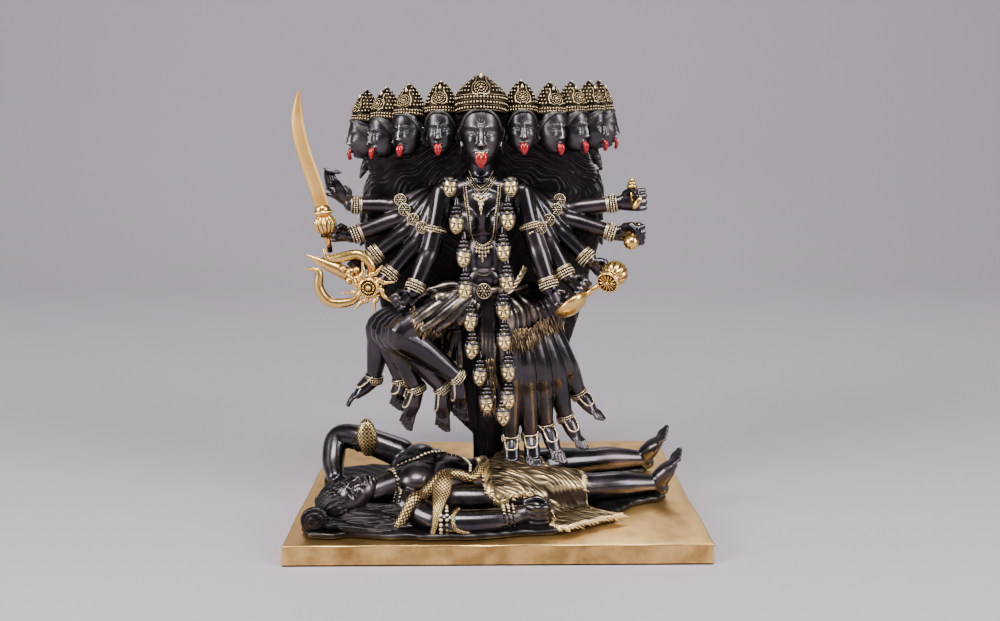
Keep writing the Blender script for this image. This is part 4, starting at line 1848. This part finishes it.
# %% Seeds
seeds = Wax()
for points, size in ((((-134, -64), (-120, -84), (-112, -104), (-116, -128)), 2.0),
                     (((-138, -60), (-124, -72), (-118, -100), (-124, -126)), 1.8),
                     (((-120, -60), (-95, -46), (-62, -22), (-46, -28), (-34, -52), (-33, -66)), 2.3)):
    string_beads(seeds, [lain(points, 10, 1.2)], size, 2.25 * size, sides=10)
for x, size, radius in ((-65, 2.5, 16.0), (-58, 2.5, 15.8), (6, 2.0, 14.2), (11.5, 2.0, 13.6),
                        (17, 2.0, 13.0)):
    y, z = (-133.5, 41) if x < 0 else (-124.5 + 0.25 * (x - 6), 40)
    string_beads(seeds, [circle(Vector((x, y, z)), Vector((1, 0.1, 0)), radius, 40)], size, 2.15 * size,
                 sides=10, closed=True)
for shift in (0, 5):
    centre = Vector((-180 + shift, 15 - 0.3 * shift, 84))
    string_beads(seeds, [circle(centre, Vector((1, -0.25, 0.1)), 15.6, 40)], 2.0, 4.3, sides=10, closed=True)
seeds_piece = as_is("shiva_seeds", seeds)
mark_height(seeds_piece.data, [shiva_tree], 0.4, 3.4)
finish_piece(seeds_piece, ornament, "shiva", 0)

# %% [markdown]
# ## Things in the hands
# Every held thing is its own polished casting pushed into a fist. The sword is a flat curved blade on a
# ball hilt, the trident has curling outer prongs, the wheel is a boss with eight hooked flames.

# %% Sword
def darken(piece, centre, axis, radius, low, high):
    """Patina left in the ground of a boss: inside a radius, and between two heights on its axis."""
    away, axis = arrays(piece.data)[0] / MM - np.array(centre), np.array(Vector(axis).normalized())
    along = away @ axis
    out = np.linalg.norm(away - np.outer(along, axis), axis=1)
    relief = relief_of(piece.data)
    relief[(out < radius) & (along > low) & (along < high)] = 0.1
    store_relief(piece.data, relief)


SWORD_HILT = Vector((-203, -24, 365))
SWORD_TURN = Matrix.Translation(SWORD_HILT) @ Matrix.Rotation(radians(-8), 4, "Y")
sword = Wax()
blade = []
steps = 48
for k in range(steps + 1):
    t = k / steps
    bow = -10.0 * sin(pi * t ** 1.6) - 1.3 * t
    half = (8.6 - t) * (1 - max(0.0, (t - 0.6) / 0.4) ** 2.2) ** 0.8 + 0.15
    blade.append((bow, half, 16 + 140 * t))
section = ((-1.0, 0.0), (-0.82, 0.75), (-0.2, 1.15), (0.55, 0.95), (1.0, 0.12), (1.0, -0.12), (0.55, -0.95),
           (-0.2, -1.15), (-0.82, -0.75))
points = [SWORD_TURN @ Vector((bow + half * u, 1.5 * v, z)) for bow, half, z in blade for u, v in section]
n = len(section)
faces = [[r * n + c, r * n + (c + 1) % n, (r + 1) * n + (c + 1) % n, (r + 1) * n + c]
         for r in range(steps) for c in range(n)]
faces += [list(range(n))[::-1], [steps * n + c for c in range(n)]]
sword.add([p[:] for p in points], faces)
finish_piece(as_is("sword_blade", sword), blade_brass, "sword", 4, 0.6)


hilt = Wax()
up = (SWORD_TURN.to_3x3() @ Vector((0, 0, 1)))
turned(hilt, SWORD_HILT, up, melon(13.5, 13), 14, 0.16)
turned(hilt, SWORD_HILT, up, [(10, 6), (13, 11.5), (15.2, 11.5), (16.4, 9.2), (17.2, 9.2), (19.6, 8.6),
                              (23, 7)])
turned(hilt, SWORD_HILT, up, [(-10, 6), (-12, 7.6), (-14, 7.6), (-15.5, 5), (-18, 3.5), (-33, 3.0), (-34, 1)])
string_beads(hilt, [circle(SWORD_HILT + up * 14, up, 11.6, 40)], 0.9, 2.2, closed=True)
finish_piece(as_is("sword_hilt", hilt), held_brass, "sword", 4, 0.35)

# %% Trident
trident = Wax()
c = Vector((-176, -40, 309))
limb(trident, (c, c + Vector((-20, 0, 9)), c + Vector((-47, 0, 22))), (7.5, 7.0, 1))
upper = ((22, -14), (28, 8), (14, 22), (-10, 18), (-22, 18), (-27, 30))
lower = ((18, -22), (2, -34), (-22, -34), (-34, -18), (-34, 2), (-50, 6))
for tine in (upper, lower):
    limb(trident, [c + Vector((x, 0, z)) for x, z in tine], (2.0, 5.2, 6.0, 5.9, 4.2, 1.0), 10)
limb(trident, (c + Vector((-6, 0, -2)), c + Vector((22, 0, -14))), (5, 4))
limb(trident, (c + Vector((18, 0, -22)), c + Vector((8, 0, -8))), (3.5, 4))
for x, y, z, size in ((5, -4, 2, 6.2), (12, -8, -5, 4.6), (3, -7, -8, 4.4), (12, -7, 5, 4.2),
                      (-4, -5, 6, 4.0)):
    ball(trident, c + Vector((x, y, z)), (size,) * 3)
finish_piece(melt("trident", trident, 0.8, 1, 20000), held_brass, "trident", 7, 0.5)

# %% Wheel
wheel = Wax()
c = Vector((-149, -58, 295))
turned(wheel, c, (0, -1, 0), [(-4, 8), (-3, 11), (-1, 12), (1.5, 12), (3, 11), (3.4, 9)])
for k in range(8):
    a = radians(45 * k + 20)
    out = Vector((cos(a), 0, sin(a)))
    along = Vector((-sin(a), 0, cos(a)))
    limb(wheel, (c + out * 9, c + out * 15 + along * 4, c + out * 19 - along, c + out * 30 - along * 4),
         (2.6, 2.8, 2.6, 0.9), 8, 12)
    ball(wheel, c + out * 14 - along * 3.4 + Vector((0, -1, 0)), (1.7, 1.7, 1.7), sides=10)
string_beads(wheel, [circle(c + Vector((0, -3.4, 0)), Vector((0, -1, 0)), 9.8, 30)], 1.0, 2.3, closed=True)
string_beads(wheel, [circle(c + Vector((0, -3.4, 0)), Vector((0, -1, 0)), 6.2, 24)], 1.1, 2.8, closed=True)
ball(wheel, c + Vector((0, -3.6, 0)), (3.2, 2.4, 3.2), sides=16)
darken(finish_piece(as_is("chakra_wheel", wheel), held_brass, "chakra", 4, 0.35), c,
       (0, -1, 0), 10.6, 2, 3.5)

# %% Mace
mace = Wax()
head, grip = Vector((137, -50, 310)), Vector((104, -50, 285))
axis = (head - grip).normalized()
facing = Vector((-0.45, -0.75, -0.35)).normalized()
turned(mace, head, facing, melon(15.5, 15), 12, 0.14)
plate_at = head + Vector((-9, -12, -8))
turned(mace, plate_at, facing, [(-3.5, 13), (0, 13.4), (2.5, 12.8), (3.2, 11), (3.4, 8)])
string_beads(mace, [circle(plate_at + facing * 2.8, facing, 11.9, 30)], 0.9, 2.1, closed=True)
for start, end in zip(circle(plate_at + facing * 3.5, facing, 3.4, 14),
                      circle(plate_at + facing * 3.4, facing, 9.6, 14)):
    limb(mace, (start, start.lerp(end, 0.6), end), (0.5, 0.9, 0.6), 2, 8)
ball(mace, plate_at + facing * 3.6, (2.6, 2.6, 2.6), sides=12)
turned(mace, head, axis * -1, [(13, 5.5), (15, 6.5), (17, 6.5), (18.5, 5), (22, 5)])
rod(mace, head - axis * 14, grip - axis * 10, 3.4, 3.2)
darken(finish_piece(as_is("mace_body", mace), held_brass, "mace", 4, 0.35), plate_at, facing,
       11.2, 2.4, 3.45)

# %% Cup
cup = Wax()
middle, mouth = Vector((88, -69, 273)), Vector((-0.56, 0.34, 0.75)).normalized()
profile = []
for k in range(15):
    a = radians(3 + 87 * k / 14)
    profile.append((-22 * 0.62 * cos(a) + 7, 22 * sin(a)))
inner = [(h + (2.0 if r > 3 else 2.2), max(0.3, r - 1.8)) for h, r in reversed(profile)]
turned(cup, middle, mouth, [(profile[0][0], 0.3)] + profile + inner)
finish_piece(as_is("skull_cup_bowl", cup), held_brass, "skull_cup", 4, 0.5)

# %% Bell and shell
bell = Wax()
c = Vector((164, -8, 395))
rod(bell, c + Vector((-1, 0, -8)), c + Vector((-3, 0, 14)), 3, 2.8)
turned(bell, c + Vector((-3, 0, 12)), (0, 0, 1),
       [(-0.5, 3), (0, 6), (1.5, 6.4), (3, 6), (3.6, 4), (4.4, 5), (6, 5.2), (7, 4.4), (7.6, 2.6),
        (8.8, 3.2), (10, 3), (11.4, 1.2)], sides=40)
ball(bell, c + Vector((1, -17, -5)), (3.6, 3.4, 8.5), Matrix.Rotation(radians(32), 4, "Y"), 20)
finish_piece(as_is("handbell_body", bell), held_brass, "handbell", 4, 0.5)
conch = Wax()
c = Vector((160, -21, 343))
turned(conch, c, (0, -1, 0.2), melon(9.3, 9), 10, 0.08, 60)
limb(conch, (c + Vector((1, 0, 3)), c + Vector((5, 0, 12)), c + Vector((9, 2, 20))), (6, 3.6, 2.4))
finish_piece(as_is("conch_body", conch), held_brass, "conch", 4, 0.5)

# %% Dish
dish = Wax()
turned(dish, (-196, -4, 425.5), (0.24, -0.1, 1),
       [(-1.6, 3.5), (-0.6, 8.5), (1.4, 11.0), (2.2, 10.6), (1.0, 7.5), (0.4, 3.0)])
for k in range(4):
    limb(dish,
         ((-192 - 3 * k, -2 - 2 * k, 410), (-195 - 2.4 * k, -2 - 2 * k, 419),
          (-198 - 1.6 * k, -3 - 2 * k, 425)), (3.0, 3.0, 2.4), 4, 12)
finish_piece(as_is("kali_dish", dish), skin_black, reach=4, span=0.6)

# %% [markdown]
# ## The slab and the stage
# The slab is a shallow tray of brass that was ground with a coarse wheel. Its edges are eased and its
# top is a little uneven where the metal was poured, so it is a fine grid that is moved by soft waves.

# %% Slab
SLAB = (480.0, 320.0, 25.0)


def slab_mesh():
    shape = bmesh.new()
    bmesh.ops.create_cube(shape, size=1.0)
    bmesh.ops.subdivide_edges(shape, edges=shape.edges[:], cuts=50, use_grid_fill=True)
    for vert in shape.verts:
        vert.co = Vector((vert.co.x * SLAB[0], vert.co.y * SLAB[1], (vert.co.z + 0.5) * SLAB[2])) * MM
    corners = [e for e in shape.edges if e.calc_face_angle(0.0) > 1.0]
    bmesh.ops.bevel(shape, geom=corners, offset=1.8 * MM, segments=4, profile=0.6, affect="EDGES")
    for vert in shape.verts:
        x, y, z = vert.co / MM
        edge = min(240 - abs(x), 160 - abs(y))
        wave = 0.5 + 0.25 * sin(x / 31 + y / 47 + 1.5 * sin(x / 83)) + 0.25 * sin(x / 13 - y / 19)
        upper = max(0.0, (z - 8) / 17)
        vert.co.z -= MM * upper * 1.7 * wave * math.exp(-edge / 9)
        pull = 1.2 * wave * upper * math.exp(-edge / 3) * MM
        vert.co.x -= math.copysign(pull, x) if abs(x) > 237 else 0.0
        vert.co.y -= math.copysign(pull, y) if abs(y) > 157 else 0.0
    mesh = bpy.data.meshes.new("slab_top")
    shape.to_mesh(mesh)
    shape.free()
    return mesh


slab_material = metal("ground brass", (0.29, 0.145, 0.040), (0.60, 0.36, 0.125), (0.86, 0.55, 0.20),
                      (0.12, 0.88, 1.1), (0.42, 0.32), 0.35, cloud_scale=9.0)
slab = new_piece("slab_plate", slab_mesh())
finish_piece(slab, slab_material, "slab")

# %% [markdown]
# ## Light
# Black metal shows only what it reflects. Broad soft panels stand where the long white highlights on
# the limbs say they stood: one overhead and in front, one on each side.

# %% Stage and lights
def panel(name, place, aim, size, power, tint=(1, 1, 1)):
    lamp = bpy.data.lights.new(name, "AREA")
    lamp.shape = "RECTANGLE"
    lamp.size, lamp.size_y = size
    lamp.energy = power
    lamp.color = tint
    holder = bpy.data.objects.new(name, lamp)
    holder.location = place
    holder.rotation_euler = (Vector(aim) - Vector(place)).to_track_quat("-Z", "Y").to_euler()
    bpy.context.scene.collection.objects.link(holder)


panel("overhead softbox", (0.0, -1.9, 4.2), (0, 0.2, 0.2), (2.4, 0.9), 270)
panel("left softbox", (-4.0, -2.2, 2.2), (0, 0, 0.25), (1.5, 2.6), 310)
panel("right softbox", (4.0, -2.0, 2.4), (0, 0, 0.25), (1.5, 2.6), 240)
panel("back softbox", (0.3, 1.7, 1.7), (0, 0, 0.2), (1.2, 0.6), 12)

world = bpy.data.worlds.new("studio")
world.use_nodes = True
world.node_tree.nodes["Background"].inputs["Color"].default_value = (0.40, 0.375, 0.405, 1)
world.node_tree.nodes["Background"].inputs["Strength"].default_value = 0.42
bpy.context.scene.world = world

floor_mesh = bpy.data.meshes.new("floor")
steps = [(-6.0, 0.0), (1.6, 0.0)] + [(1.6 + 1.6 * sin(a), 1.6 - 1.6 * cos(a))
                                     for a in [radians(9 * k) for k in range(1, 11)]] + [(3.2, 5.0)]
floor_points = [(x, y, z - 0.0002) for y, z in steps for x in (-7.0, 7.0)]
floor_mesh.from_pydata(floor_points, [],
                       [[2 * k, 2 * k + 1, 2 * k + 3, 2 * k + 2] for k in range(len(steps) - 1)])
floor = new_piece("floor", floor_mesh)
floor_mesh.polygons.foreach_set("use_smooth", [True] * len(floor_mesh.polygons))
paper = bpy.data.materials.new("pale paper")
paper.use_nodes = True
paper_tree = paper.node_tree
place = paper_tree.nodes.new("ShaderNodeTexCoord")
apart = paper_tree.nodes.new("ShaderNodeSeparateXYZ")
paper_tree.links.new(place.outputs["Object"], apart.inputs[0])
paper_tree.links.new(blend_colour(paper_tree, span_node(paper_tree, apart.outputs["Y"], -0.5, 0.45),
                                  (0.43, 0.39, 0.435), (0.272, 0.248, 0.276)),
                     paper_tree.nodes["Principled BSDF"].inputs["Base Color"])
paper.node_tree.nodes["Principled BSDF"].inputs["Roughness"].default_value = 0.9
floor_mesh.materials.append(paper)

# %% [markdown]
# ## Size
# The fine skin has to stay inside the box of the solids, so both boxes are written side by side.

# %% Finish
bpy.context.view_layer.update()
dressed = [o.data for o in bpy.data.objects if "relief" in getattr(o.data, "attributes", ())]
print("triangles in all", sum(len(f.vertices) - 2 for mesh in dressed for f in mesh.polygons))
